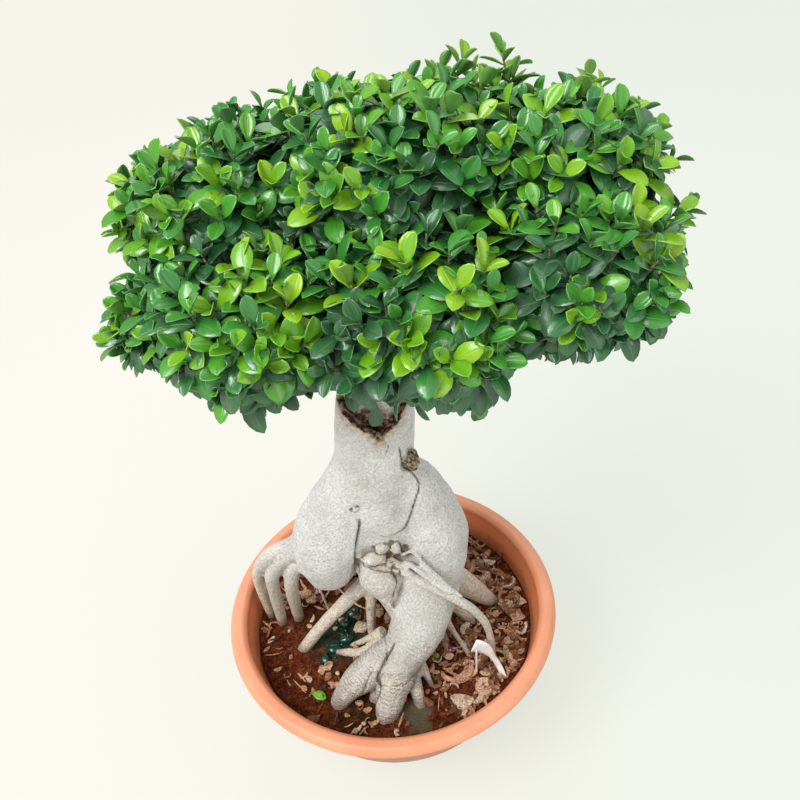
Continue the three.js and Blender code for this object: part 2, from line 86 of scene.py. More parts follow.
# %% Lamps and the sky's own light
def soft_lamp(name, place, side, power, aim=(0.03, 0, 0.5)):
    """A square lamp that shines from one place to another."""
    light = bpy.data.lights.new(name, "AREA")
    light.size = side
    light.energy = power
    lamp = bpy.data.objects.new(name, light)
    lamp.location = place
    lamp.rotation_euler = (Vector(aim) - Vector(place)).to_track_quat("-Z", "Y").to_euler()
    bpy.context.collection.objects.link(lamp)


# A wide sun lights the whole floor evenly from the upper left. Its disc is broad, so shadows stay soft.
sun = bpy.data.lights.new("key_sun", "SUN")
sun.energy = 1.95
sun.angle = math.radians(46)
key = bpy.data.objects.new("key_sun", sun)
key.rotation_euler = Vector((0.55, 0.5, -0.95)).to_track_quat("-Z", "Y").to_euler()
bpy.context.collection.objects.link(key)
soft_lamp("sheen_lamp", (-1.4, -1.1, 2.1), 0.9, 18)
soft_lamp("fill_lamp", (1.7, -1.3, 1.4), 1.6, 10)
soft_lamp("back_lamp", (-0.1, 1.6, 1.9), 1.2, 9, (0.03, 0, 0.65))
sky = bpy.data.worlds.new("sky")
bpy.context.scene.world = sky
sky.use_nodes = True
glow = sky.node_tree.nodes["Background"].inputs
glow["Color"].default_value = (1.0, 1.0, 0.99, 1)
glow["Strength"].default_value = 0.6

# %% [markdown]
# ## Tools for materials
# Every finish here is built from shader nodes. A few short helpers add a node with its values, so that
# each material below reads like a recipe. What several materials share, a fine grain and the dust that
# soil leaves near its level, is made once as a node group with named inputs.

# %% Helpers that add nodes
def add(tree, kind, inputs=None, **settings):
    """One new node. An input is given a value, or another node's output to be linked to."""
    node = tree.nodes.new(kind)
    for name, value in settings.items():
        setattr(node, name, value)
    for name, value in (inputs or {}).items():
        if isinstance(value, bpy.types.NodeSocket):
            tree.links.new(value, node.inputs[name])
        else:
            node.inputs[name].default_value = value
    return node


def number(tree, operation, a, b=0.0):
    return add(tree, "ShaderNodeMath", {0: a, 1: b}, operation=operation).outputs[0]


def times(tree, a, b):
    return number(tree, "MULTIPLY", a, b)


def plus(tree, a, b):
    return number(tree, "ADD", a, b)


def split(tree, vector):
    return add(tree, "ShaderNodeSeparateXYZ", {0: vector}).outputs


def between(tree, value, low, high, start=0.0, end=1.0):
    """Value taken from low..high to start..end, and held there."""
    inputs = {"Value": value, "From Min": low, "From Max": high, "To Min": start, "To Max": end}
    return add(tree, "ShaderNodeMapRange", inputs, interpolation_type="SMOOTHSTEP").outputs["Result"]


def colours(tree, value, *stops):
    """A colour ramp with stops of (position, (red, green, blue))."""
    node = add(tree, "ShaderNodeValToRGB", {"Fac": value})
    ramp = node.color_ramp
    while len(ramp.elements) < len(stops):
        ramp.elements.new(0.5)
    for element, (position, colour) in zip(ramp.elements, stops):
        element.position = position
        element.color = (*colour, 1)
    return node.outputs["Color"]


def blended(tree, share, a, b, mode="MIX"):
    """Colour a changed by colour b."""
    inputs = {index: (*value, 1) if isinstance(value, tuple) else value
              for index, value in ((0, share), (6, a), (7, b))}
    return add(tree, "ShaderNodeMix", inputs, data_type="RGBA", blend_type=mode).outputs[2]


def layered(tree, colour, *layers):
    """A colour with layers laid over it, each given as (share, colour) or (share, colour, "MULTIPLY")."""
    for share, *rest in layers:
        colour = blended(tree, share, colour, *rest)
    return colour


def cloudy(tree, where, scale, detail=2.0, distortion=0.0):
    inputs = {"Vector": where, "Scale": scale, "Detail": detail, "Distortion": distortion}
    return add(tree, "ShaderNodeTexNoise", inputs).outputs["Fac"]


def carried(tree, name):
    """A number that the mesh carries in an attribute."""
    return add(tree, "ShaderNodeAttribute", attribute_name=name).outputs["Fac"]


def here(tree):
    return add(tree, "ShaderNodeTexCoord").outputs["Object"]


def finish(name, colour, **sockets):
    """A new material with its Principled shader's plain values: (material, node tree, shader)."""
    material = bpy.data.materials.new(name)
    material.use_nodes = True
    shader = material.node_tree.nodes["Principled BSDF"]
    for socket, value in sockets.items():
        shader.inputs[socket.replace("_", " ")].default_value = value
    shader.inputs["Base Color"].default_value = (*colour, 1)
    material.diffuse_color = (*colour, 1)
    return material, material.node_tree, shader


def feed(shader, **sockets):
    """Links outputs to sockets of the shader."""
    for socket, output in sockets.items():
        shader.id_data.links.new(output, shader.inputs[socket.replace("_", " ")])


def embossed(tree, shader, height, depth, strength=1.0):
    """Bump of that real depth in metres."""
    bump = add(tree, "ShaderNodeBump", {"Height": height, "Distance": depth, "Strength": strength})
    feed(shader, Normal=bump.outputs["Normal"])

# %% Shared groups: fine grain, and soil dust
def group(name, inputs, outputs):
    tree = bpy.data.node_groups.new(name, "ShaderNodeTree")
    for socket, value in inputs.items():
        made = tree.interface.new_socket(socket, in_out="INPUT", socket_type="NodeSocketFloat")
        made.default_value = value
    for socket in outputs:
        tree.interface.new_socket(socket, in_out="OUTPUT", socket_type="NodeSocketFloat")
    return tree, tree.nodes.new("NodeGroupInput").outputs, tree.nodes.new("NodeGroupOutput").inputs


fine_grain, given, made = group("fine_grain", {"Scale": 500.0, "Detail": 3.0, "Softness": 0.2}, ["Mask"])
speck = cloudy(fine_grain, here(fine_grain), given["Scale"], given["Detail"])
low = number(fine_grain, "SUBTRACT", 0.5, given["Softness"])
high = plus(fine_grain, 0.5, given["Softness"])
fine_grain.links.new(between(fine_grain, speck, low, high), made["Mask"])

soil_dust, given, made = group("soil_dust", {"Level": 0.13, "Reach": 0.04}, ["Mask"])
place = here(soil_dust)
height_above = number(soil_dust, "SUBTRACT", split(soil_dust, place)["Z"], given["Level"])
ragged = times(soil_dust, cloudy(soil_dust, place, 90, 3), given["Reach"])
dust_fade_and_painted_light = number(soil_dust, "DIVIDE", number(soil_dust, "SUBTRACT", height_above, ragged), given["Reach"])
soil_dust.links.new(between(soil_dust, dust_fade_and_painted_light, -0.2, 0.6, 1, 0), made["Mask"])


def grain(tree, scale, detail=3.0, softness=0.2):
    inputs = {"Scale": scale, "Detail": detail, "Softness": softness}
    return add(tree, "ShaderNodeGroup", inputs, node_tree=fine_grain).outputs["Mask"]


def dust(tree, level, reach):
    inputs = {"Level": level, "Reach": reach}
    return add(tree, "ShaderNodeGroup", inputs, node_tree=soil_dust).outputs["Mask"]


print("groups:", [g.name for g in bpy.data.node_groups])

# %% [markdown]
# ## Tools for pieces
# A piece is a mesh whose place is in its vertices. The helper below gives it its object, its finish, and
# its link to the body it rides on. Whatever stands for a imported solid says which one, so that solid is
# hidden.

# %% Turn a mesh into a piece of the object
def piece(name, mesh, slot, *materials, replaces=()):
    for material in materials:
        mesh.materials.append(material)
    thing = bpy.data.objects.new(name, mesh)
    bpy.context.collection.objects.link(thing)
    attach(thing, "root")
    if replaces:
        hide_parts(*replaces)
    print(name, "has", sum(len(p.vertices) - 2 for p in mesh.polygons), "triangles")
    return thing


def mesh_from(bm, name, smooth=True):
    mesh = bpy.data.meshes.new(name)
    for face in bm.faces:
        face.smooth = smooth
    bm.to_mesh(mesh)
    bm.free()
    return mesh


def worked(mesh, *modifiers):
    """The mesh after modifiers, each given as (type, settings)."""
    holder = bpy.data.objects.new("working", mesh)
    bpy.context.collection.objects.link(holder)
    for kind, settings in modifiers:
        modifier = holder.modifiers.new(kind, kind)
        for name, value in settings.items():
            setattr(modifier, name, value)
    ready = holder.evaluated_get(bpy.context.evaluated_depsgraph_get())
    result = bpy.data.meshes.new_from_object(ready)
    bpy.data.objects.remove(holder)
    return result


def turned(profile, steps, corner=0.0):
    """A shape turned about Z from a profile of (radius, height) in millimetres."""
    bm = bmesh.new()
    verts = [bm.verts.new((r * MM, 0, z * MM)) for r, z in profile]
    for pair in zip(verts, verts[1:]):
        bm.edges.new(pair)
    if corner:
        bmesh.ops.bevel(bm, geom=verts[1:-1], offset=corner * MM, offset_type="OFFSET", segments=4,
                        profile=0.5, affect="VERTICES", material=-1)
    bmesh.ops.spin(bm, geom=bm.verts[:] + bm.edges[:], cent=(0, 0, 0), axis=(0, 0, 1), angle=2 * math.pi,
                   steps=steps, use_merge=True)
    bmesh.ops.remove_doubles(bm, verts=bm.verts, dist=1e-5)
    bmesh.ops.recalc_face_normals(bm, faces=bm.faces)
    return bm

# %% [markdown]
# ## The bowl
# A moulded plastic bowl is a shape of revolution: its wall is drawn as a profile and spun about its axis,
# after the corners of the profile have been rounded, which is how the rolled lip gets its soft highlight.
# The drain holes are cut through its floor afterwards, because they aren't part of the turning.

# %% Bowl profile and solid
POT_RADIUS, POT_HEIGHT = 200, 167
FLOOR = 5
BOWL_STEPS, CORNER = 160, 2.4
OUTER_WALL = [(0, 0), (120, 0), (125, 5), (148, 48), (168, 96), (190, 153.8)]
LIP = [(POT_RADIUS - 1, 154), (POT_RADIUS, 160), (194.5, POT_HEIGHT), (184.5, POT_HEIGHT), (179, 162)]
INNER_WALL = [(179, 154), (164, 96), (144, 48), (121, FLOOR + 8), (112, FLOOR), (0, FLOOR)]
DRAINS, DRAIN_RADIUS, DRAIN_CIRCLE, DRILL_LENGTH = 4, 7, 85, 40

bowl = mesh_from(turned(OUTER_WALL + LIP + INNER_WALL, BOWL_STEPS, CORNER), "bowl")
drills = bmesh.new()
for i in range(DRAINS):
    turn = (i + 0.5) * math.tau / DRAINS
    centre = Matrix.Translation(Vector((math.cos(turn), math.sin(turn), 0)) * DRAIN_CIRCLE * MM)
    bmesh.ops.create_cone(drills, cap_ends=True, segments=24, radius1=DRAIN_RADIUS * MM,
                          radius2=DRAIN_RADIUS * MM, depth=DRILL_LENGTH * MM, matrix=centre)
drill = bpy.data.objects.new("drill", mesh_from(drills, "drill", False))
bpy.context.collection.objects.link(drill)
bowl = worked(bowl, ("BOOLEAN", {"object": drill, "solver": "EXACT"}))
bpy.data.objects.remove(drill)

# %% Terracotta-coloured plastic
INSIDE, LIP_INNER = 0.176, 0.187
plastic, tree, shader = finish("terracotta_plastic", (0.72, 0.27, 0.13), Roughness=0.42, Coat_Weight=0.0,
                               Specular_IOR_Level=0.45)
mottle = cloudy(tree, here(tree), 14, 4)
clay = colours(tree, mottle, (0.3, (0.745, 0.3, 0.16)), (0.7, (0.85, 0.385, 0.225)))
spot = split(tree, here(tree))
squares = plus(tree, times(tree, spot["X"], spot["X"]), times(tree, spot["Y"], spot["Y"]))
# Painted shade: nearer the axis than the lip's inner edge, the bowl is darker and redder, on the inner wall
# and on the outer wall under the lip.
inner_wall_shade = between(tree, number(tree, "SQRT", squares), INSIDE, LIP_INNER, 1, 0)
clay = layered(tree, clay, (inner_wall_shade, (1.0, 0.74, 0.56), "MULTIPLY"),
               (between(tree, grain(tree, 900, 2, 0.1), 0, 1, 0, 0.16), (0.5, 0.15, 0.06)),
               (times(tree, dust(tree, 0.122, 0.02), 0.55), (0.16, 0.07, 0.035)))
feed(shader, Base_Color=clay, Roughness=between(tree, mottle, 0.2, 0.8, 0.36, 0.5))
embossed(tree, shader, grain(tree, 1400, 2, 0.3), 0.00012, 0.5)
piece("bowl_with_lip", bowl, "pot", plastic, replaces=["pot"])

# %% [markdown]
# ## Soil
# The bowl is filled with a coarse red-brown mix. Its surface is a turned disc with close rings, and noise
# at several sizes lifts it into lumps and crumbs. Loose bark is added as its own pieces later, because
# lying chips throw shadows that a bump cannot.

# %% Surface of the soil
SOIL_LEVEL, SOIL_SWELL, SOIL_RIM = 126, 5, 170.5
SOIL_RINGS, SOIL_STEPS = 74, 230
SOIL_EDGE = 0.004
SOIL_UNDERSIDE = [(0, FLOOR + 1), (110, FLOOR + 1), (119, FLOOR + 9), (142, 49), (162, 97), (170, 118)]


def soil_height(x, y):
    """Height of the soil at a place, all in millimetres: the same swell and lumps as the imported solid."""
    swell = SOIL_SWELL * math.cos(math.hypot(x, y) / POT_RADIUS * math.pi / 2)
    lumps = math.sin(x * 0.11 + 1.3) * math.cos(y * 0.13 + 0.4) + math.sin(x * 0.053 - y * 0.071)
    return SOIL_LEVEL - 2 + swell + lumps


def crumbs(place):
    """How far the soil's crumbs stand up at a place in metres."""
    lump = noise.noise(place * 38) * 2.4
    clod = noise.noise(place * 110 + Vector((7, 3, 1))) * 1.5
    bit = abs(noise.noise(place * 310)) * 1.8
    return (lump + clod + bit - 0.6) * MM


rings = [(SOIL_RIM * (1 - i / SOIL_RINGS), SOIL_LEVEL) for i in range(SOIL_RINGS + 1)]
bm = turned(SOIL_UNDERSIDE + rings, SOIL_STEPS)
for vert in bm.verts:
    if vert.co.z > (SOIL_LEVEL - 1) * MM:
        rim_fade = min(1, (SOIL_RIM * MM - vert.co.xy.length) / SOIL_EDGE)
        vert.co.z = soil_height(vert.co.x / MM, vert.co.y / MM) * MM + crumbs(vert.co) * rim_fade
soil_mesh = mesh_from(bm, "soil")

# %% Damp, crumbly colour of the soil
PATCH_BLUR = 0.025
earth, tree, shader = finish("damp_soil", (0.1, 0.035, 0.02), Roughness=0.85, Specular_IOR_Level=0.15)
where = here(tree)
rusty = colours(tree, cloudy(tree, where, 130, 6), (0.25, (0.04, 0.008, 0.0015)), (0.5, (0.12, 0.026, 0.005)),
                (0.75, (0.22, 0.065, 0.018)))
clods = colours(tree, grain(tree, 420, 3, 0.12), (0.0, (0.45, 0.4, 0.4)), (1.0, (1.3, 1.2, 1.15)))
green_shade_under_bulb = colours(tree, cloudy(tree, where, 220, 4), (0.3, (0.004, 0.018, 0.01)), (0.7, (0.02, 0.075, 0.045)))


def near(tree, where, centre, reach):
    """A soft patch round a place in millimetres, 1 at its middle, with a ragged edge."""
    inputs = {0: where, 1: Vector(centre) * MM}
    far = add(tree, "ShaderNodeVectorMath", inputs, operation="DISTANCE").outputs["Value"]
    ragged = times(tree, cloudy(tree, where, 45, 4), 2 * PATCH_BLUR)
    low, high = reach * MM * 0.45 + PATCH_BLUR, reach * MM + PATCH_BLUR
    return between(tree, plus(tree, far, ragged), low, high, 1, 0)


wet = layered(tree, rusty, (1.0, clods, "MULTIPLY"),
              # Under the hanging left bulb the soil is painted dark green-black, as the bulb's shade.
              (times(tree, near(tree, where, (-64, -24, 128), 50), 0.85), green_shade_under_bulb),
              (near(tree, where, (-40, -112, 126), 52), (0.4, 0.75, 0.55), "MULTIPLY"),
              (times(tree, near(tree, where, (17, -134, 126), 26), 0.75), (0.1, 0.1, 0.06)))
feed(shader, Base_Color=wet, Roughness=between(tree, cloudy(tree, where, 60, 3), 0.3, 0.7, 0.6, 0.95))
embossed(tree, shader, grain(tree, 700, 4, 0.3), 0.0012, 0.8)
piece("soil_filling", soil_mesh, "soil", earth, replaces=["soil"])

# %% [markdown]
# ## Rootstock: its limbs as lines
# The rootstock grew as one piece, but its shape is easiest to think of as round limbs: a neck, two bulbs,
# toes and thin roots. Each is a smooth line with a radius at every point, and the numbers are those of
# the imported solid, so the finer shape stays where the solid is.

# %% Lines of the limbs, each point x, y, z, radius in millimetres
NECK = [(8, 8, 500, 38), (8, 8, 482, 40), (3, 6, 433, 42), (-1, 4, 386, 43), (-2, 0, 338, 42),
        (-1, -4, 282, 34), (0, 0, 240, 24)]
LEFT_BULB = [(-16, 2, 404, 24), (-32, -4, 368, 31), (-54, -12, 326, 38), (-66, -20, 286, 38),
             (-64, -26, 250, 26)]
RIGHT_LEG = [(16, 0, 392, 22), (38, 0, 348, 34), (54, -6, 290, 42), (46, -30, 234, 39), (36, -54, 208, 34),
             (24, -72, 188, 31), (5, -90, 168, 26), (-3, -106, 153, 20)]
MIDDLE_BULB = [(-11, -26, 284, 19), (-7, -39, 259, 25.5), (-1, -44, 230, 14), (4, -48, 198, 7)]
CENTRE_ROOT = [(4, 14, 270, 30), (8, 30, 190, 26), (10, 38, 100, 25)]
TOES = [
    [(8, -82, 176, 24), (-30, -94, 159, 20), (-53, -102, 143, 16), (-69, -110, 126, 11)],
    [(0, -90, 162, 18), (-20, -104, 138, 11), (-30, -113, 116, 7)],
    [(8, -88, 168, 24), (-4, -110, 150, 19), (-12, -127, 132, 15), (-17, -136, 115, 11)],
    [(16, -86, 152, 13), (21, -110, 138, 8), (26, -128, 116, 6)],
    [(24, -80, 155, 10), (36, -95, 134, 5), (42, -104, 114, 4)],
]
HAND_ROOTS = [
    [(-76, -20, 304, 12), (-104, -22, 301, 10), (-134, -17, 280, 8), (-156, 4, 220, 7), (-157, 24, 112, 6)],
    [(-80, -24, 297, 12), (-110, -24, 289, 10), (-132, -16, 250, 9), (-140, 0, 196, 8), (-143, 12, 110, 6.5)],
    [(-78, -26, 289, 12), (-100, -26, 276, 10), (-112, -20, 240, 9), (-119, 0, 180, 8), (-122, 18, 108, 7)],
]
SMALL_ROOTS = [
    [(-8, -18, 244, 12), (-52, -25, 200, 9), (-90, -30, 157, 8), (-126, -35, 107, 8)],
    [(-20, -26, 226, 8), (-26, -29, 168, 6), (-28, -28, 104, 6)],
    [(-14, -62, 164, 9), (-40, -61, 148, 6), (-56, -54, 139, 5.5), (-73, -44, 128, 3)],
    [(-12, -54, 174, 8), (-34, -46, 150, 4.5), (-53, -40, 133, 3.5)],
    [(48, 4, 216, 24), (80, 6, 184, 18), (106, 10, 152, 13), (140, 16, 104, 6)],
    [(50, -10, 190, 14), (80, -10, 148, 8), (110, -20, 108, 6)],
    [(48, -30, 206, 10), (70, -42, 150, 4), (84, -60, 134, 3.6), (96, -76, 112, 3)],
    [(-96, -18, 262, 6), (-85, -10, 215, 2.6), (-76, 6, 112, 2.4)],
]
CROSSING_ROOT = [(4, -44, 286, 6), (14, -50, 284, 6), (28, -58, 273, 6), (47, -68, 267, 5.8),
                 (63, -75, 260, 5.6), (78, -77, 248, 5.6), (92, -76, 230, 5.4), (106, -72, 199, 5),
                 (112, -70, 170, 4.6), (115, -71, 140, 4.4), (116, -73, 106, 4.4)]
BACK_ROOTS = [
    [(-46, 4, 300, 26), (-66, 30, 230, 19), (-84, 58, 168, 14), (-100, 78, 104, 10)],
    [(28, 20, 310, 30), (44, 50, 240, 24), (52, 78, 176, 18), (60, 98, 104, 13)],
    [(-6, 28, 300, 22), (-14, 60, 230, 16), (-24, 92, 166, 12), (-32, 112, 104, 9)],
]
BRANCHES = [
    [(6, 10, 440, 20), (2, 8, 520, 15), (14, 12, 590, 11), (34, 16, 668, 7)],
    [(16, 2, 440, 16), (25, -14, 506, 12), (40, -56, 562, 8), (50, -88, 600, 5)],
    [(-6, 6, 440, 16), (-18, 6, 526, 12), (-56, 12, 594, 9), (-90, 22, 648, 6)],
    [(20, 10, 440, 16), (36, 14, 528, 13), (108, 20, 590, 10), (164, 26, 652, 6)],
    [(8, 22, 440, 15), (20, 60, 530, 12), (34, 86, 588, 8), (44, 100, 630, 5)],
    [(-22, 7, 536, 9), (-66, -8, 570, 8), (-104, -20, 592, 6), (-124, -24, 606, 4)],
    [(-20, 5, 526, 9), (-40, -28, 560, 7), (-62, -58, 590, 6), (-72, -72, 610, 4)],
    [(44, 14, 536, 10), (92, -12, 566, 8), (140, -42, 596, 6), (168, -60, 622, 4)],
    [(84, 17, 572, 10), (130, 6, 588, 8), (180, -4, 606, 6), (210, -8, 620, 4)],
    [(12, 40, 492, 10), (-26, 60, 546, 8), (-56, 78, 590, 6), (-72, 88, 622, 4)],
    [(18, 52, 514, 10), (70, 64, 560, 8), (124, 82, 600, 6), (160, 92, 628, 4)],
]

# %% From a few points to a smooth round limb
# Distances past a limb's end, and widths there, as shares of its last radius.
ROUND_TIP = [(0.35, 0.9), (0.6, 0.68), (0.76, 0.4), (0.82, 0.05)]


def smooth_line(points, step=4.0):
    """Rows of x, y, z, radius in metres on a curve through points that are in millimetres."""
    p = np.array(points, float) * MM
    p = np.vstack([2 * p[0] - p[1], p, 2 * p[-1] - p[-2]])
    rows = []
    for a, b, c, d in zip(p, p[1:], p[2:], p[3:]):
        count = max(2, int(np.linalg.norm((c - b)[:3]) / (step * MM)))
        for t in np.arange(count) / count:
            rows.append(b + 0.5 * t * (c - a + t * (2 * a - 5 * b + 4 * c - d + t * (3 * b - a - 3 * c + d))))
    rows.append(p[-2])
    return np.array(rows)


def round_end(line):
    """The same line with its far end drawn in to a round tip."""
    tip, along = line[-1], (line[-1] - line[-2])[:3]
    along = along / np.linalg.norm(along)
    return np.vstack([line] + [[*(tip[:3] + along * tip[3] * far), tip[3] * wide] for far, wide in ROUND_TIP])


def tubes(lines, grow=0.0, sides=3):
    """One mesh of closed round limbs along lines of x, y, z, radius."""
    curve = bpy.data.curves.new("limbs", "CURVE")
    curve.dimensions = "3D"
    curve.bevel_depth = 1.0
    curve.bevel_resolution = sides
    curve.use_fill_caps = True
    for line in lines:
        spline = curve.splines.new("POLY")
        spline.points.add(len(line) - 1)
        spline.points.foreach_set("co", np.c_[line[:, :3], np.ones(len(line))].ravel())
        spline.points.foreach_set("radius", line[:, 3] + grow)
    holder = bpy.data.objects.new("limbs", curve)
    mesh = bpy.data.meshes.new_from_object(holder)
    bpy.data.objects.remove(holder)
    bm = bmesh.new()
    bm.from_mesh(mesh)
    bmesh.ops.remove_doubles(bm, verts=bm.verts, dist=1e-5)
    bmesh.ops.recalc_face_normals(bm, faces=bm.faces)
    return mesh_from(bm, "limbs")


def smoothed(bm, rounds, verts=None):
    for _ in range(rounds):
        bmesh.ops.smooth_vert(bm, verts=verts or bm.verts, factor=0.5, use_axis_x=True, use_axis_y=True,
                              use_axis_z=True)


thick_lines = [smooth_line(NECK), round_end(smooth_line(LEFT_BULB)), smooth_line(RIGHT_LEG)]
root_lines = [round_end(smooth_line(p)) for p in [MIDDLE_BULB, CENTRE_ROOT, CROSSING_ROOT, *TOES, *HAND_ROOTS,
                                                  *SMALL_ROOTS, *BACK_ROOTS]]
branch_lines = [smooth_line(p) for p in BRANCHES]
print("limbs:", len(thick_lines + root_lines + branch_lines))

# %% [markdown]
# ## Rootstock: one skin over all limbs
# Where two swollen limbs meet, real bark bridges the valley between them. The thick limbs are therefore
# made too fat, remeshed into one skin, and drawn back in by the same amount: convex parts come back to
# their size, and the valleys stay filled. The thin roots then join them in a second, finer remesh.

# %% Fatten, join, draw back in
FILL = 11 * MM
STOCK_VOXEL, ROOT_VOXEL = 4 * MM, 2.3 * MM

fat = worked(tubes(thick_lines, FILL, 6), ("REMESH", {"mode": "VOXEL", "voxel_size": STOCK_VOXEL}))
bm = bmesh.new()
bm.from_mesh(fat)
smoothed(bm, 4)
bm.normal_update()
for vert in bm.verts:
    vert.co -= vert.normal * FILL
stock_skin = BVHTree.FromBMesh(bm)
stock = mesh_from(bm, "stock")

# %% [markdown]
# The top of the neck was sawn off for grafting and has split into a ragged V. Three blocks and a cone are
# cut out of it. Noise on the blocks' own skin makes the cut edge ragged, as torn wood is.

# %% Cut the ragged V out of the neck's top
V_BOTTOM = Vector((11, -30, 452))
# Each side of the V: its tilt in radians, and how far its block's middle lies from the bottom.
V_SIDES = [(0.72, -47), (-0.98, 47)]
V_BLOCK = Vector((94, 84, 60))
TOP_MIDDLE, TOP_SIZE = Vector((8, 8, 526)), (0.12, 0.12, 0.05)
HOLLOW_MIDDLE, HOLLOW_RADII, HOLLOW_DEPTH = Vector((8, 2, 498)), (20, 33), 96
CUT_VOXEL = 2.5 * MM

cutters = bmesh.new()
for turn, along in V_SIDES:
    block = Matrix.Translation(V_BOTTOM * MM) @ Matrix.Rotation(turn, 4, "Y")
    block = block @ Matrix.Translation(Vector((along, 0, V_BLOCK.z / 2)) * MM)
    bmesh.ops.create_cube(cutters, size=1, matrix=block @ Matrix.Diagonal((*(V_BLOCK * MM), 1)))
top = Matrix.Translation(TOP_MIDDLE * MM) @ Matrix.Diagonal((*TOP_SIZE, 1))
bmesh.ops.create_cube(cutters, size=1, matrix=top)
low_radius, high_radius = HOLLOW_RADII
bmesh.ops.create_cone(cutters, cap_ends=True, segments=20, radius1=low_radius * MM, radius2=high_radius * MM,
                      depth=HOLLOW_DEPTH * MM, matrix=Matrix.Translation(HOLLOW_MIDDLE * MM))
cutters = worked(mesh_from(cutters, "cutters", False), ("REMESH", {"mode": "VOXEL", "voxel_size": CUT_VOXEL}))
for vert in cutters.vertices:
    fine, coarse = noise.noise_vector(vert.co * 120), noise.noise_vector(vert.co * 45)
    vert.co += Vector(fine) * 3.5 * MM + Vector(coarse) * 4 * MM
bm = bmesh.new()
bm.from_mesh(cutters)
cut_skin = BVHTree.FromBMesh(bm)
bm.free()
cutter = bpy.data.objects.new("cutter", cutters)
bpy.context.collection.objects.link(cutter)
stock = worked(stock, ("BOOLEAN", {"object": cutter, "operation": "DIFFERENCE", "solver": "MANIFOLD"}))
bpy.data.objects.remove(cutter)
print("neck cut:", len(stock.vertices), "vertices")

# %% [markdown]
# Between the bulbs sits a knot of small round swellings, and on the right of the neck a rough burr. Both
# are clusters of little spheres, which melt into the bark when the whole is remeshed.

# %% Knots, the burr and thin strands, then one skin
KNOTS = [((-2, -38, 304), (9, 8, 9)), ((13, -39, 301), (6, 7, 9)), ((-11, -42, 290), (14, 9.5, 8.5)),
         ((5, -52, 289), (4, 4, 4)), ((12, -54, 281), (4.5, 4, 4.5)), ((-28, -37, 292), (6, 6, 6))]
BURR, BURR_SPREAD, BURR_BITS = Vector((37, -24, 414)), Vector((7, 4, 9)), 34
STRANDS = [
    [(18, -41, 289, 2.4), (25, -43, 296, 2.4), (31, -45, 299, 2.5), (36, -49, 295, 2.6), (44, -57, 289, 2.7),
     (55, -66, 281, 2.8), (68, -76, 271, 2.8), (80, -79, 258, 2.6)],
    [(21, -48, 289, 3), (29, -55, 288, 3.4), (37, -62, 285, 3.6), (47, -70, 281, 3.6), (59, -77, 274, 3.4),
     (69, -80, 267, 3)],
    [(-60, -32, 236, 1.6), (-42, -38, 212, 1.8), (-27, -36, 193, 1.6)],
    [(-10, -58, 240, 1.8), (4, -63, 226, 2), (14, -64, 212, 1.8)],
    [(-150, 6, 205, 2), (-146, 22, 160, 2), (-158, 36, 122, 1.8)],
    [(-128, 2, 190, 1.8), (-134, 20, 150, 1.8), (-148, 30, 122, 1.6)],
]
knots = bmesh.new()
dice = random.Random(3)
burr_bits = []
for _ in range(BURR_BITS):
    spot = BURR + Vector([dice.uniform(-1, 1) * reach for reach in BURR_SPREAD])
    burr_bits.append((spot, [dice.uniform(2.8, 4.8)] * 3))
for middle, half in KNOTS + burr_bits:
    shape = Matrix.Translation(Vector(middle) * MM) @ Matrix.Diagonal((*half, 1))
    bmesh.ops.create_icosphere(knots, subdivisions=2, radius=MM, matrix=shape)
root_lines += [smooth_line(points, 3) for points in STRANDS]
bm = bmesh.new()
for part in (stock, tubes(root_lines), mesh_from(knots, "knots")):
    bm.from_mesh(part)
rootstock = worked(mesh_from(bm, "rootstock"), ("REMESH", {"mode": "VOXEL", "voxel_size": ROOT_VOXEL}))
print("rootstock:", len(rootstock.vertices), "vertices")

# %% [markdown]
# ## Rootstock: bark relief
# Every point of the skin looks up the limb it belongs to, which tells how far along the limb it lies, so
# that wrinkles can run round the toes. Creases are lines too: the bark is pressed in along them, and on
# the side where one limb swells over the other it is lifted a little. The same lookups feed the finish.

# %% Which limb is each point on
all_lines = thick_lines + root_lines
limb_places = kdtree.KDTree(sum(len(line) for line in all_lines))
limb_facts = []
for index, line in enumerate(all_lines):
    far = np.r_[0, np.cumsum(np.linalg.norm(np.diff(line[:, :3], axis=0), axis=1))]
    for row, along in zip(line, far):
        limb_places.insert(Vector(row[:3]), len(limb_facts))
        limb_facts.append((index, row[3], along))
limb_places.balance()


def limb_at(place):
    """(limb's number, radius, distance along it) of the limb whose skin is nearest."""
    found = [(distance - limb_facts[i][1], i) for _, i, distance in limb_places.find_n(place, 14)]
    return limb_facts[min(found)[1]]


def ramp(value, low, high):
    """0 below low, 1 above high, and a soft change between."""
    t = min(1, max(0, (value - low) / (high - low)))
    return t * t * (3 - 2 * t)


bm = bmesh.new()
bm.from_mesh(rootstock)
skin = BVHTree.FromBMesh(bm)
thinness = [ramp(stock_skin.find_nearest(vert.co)[3], 1.5 * MM, 6 * MM) for vert in bm.verts]
smoothed(bm, 5, [vert for vert, thin in zip(bm.verts, thinness) if thin < 0.1 and vert.co.z < 0.445])
smoothed(bm, 2)

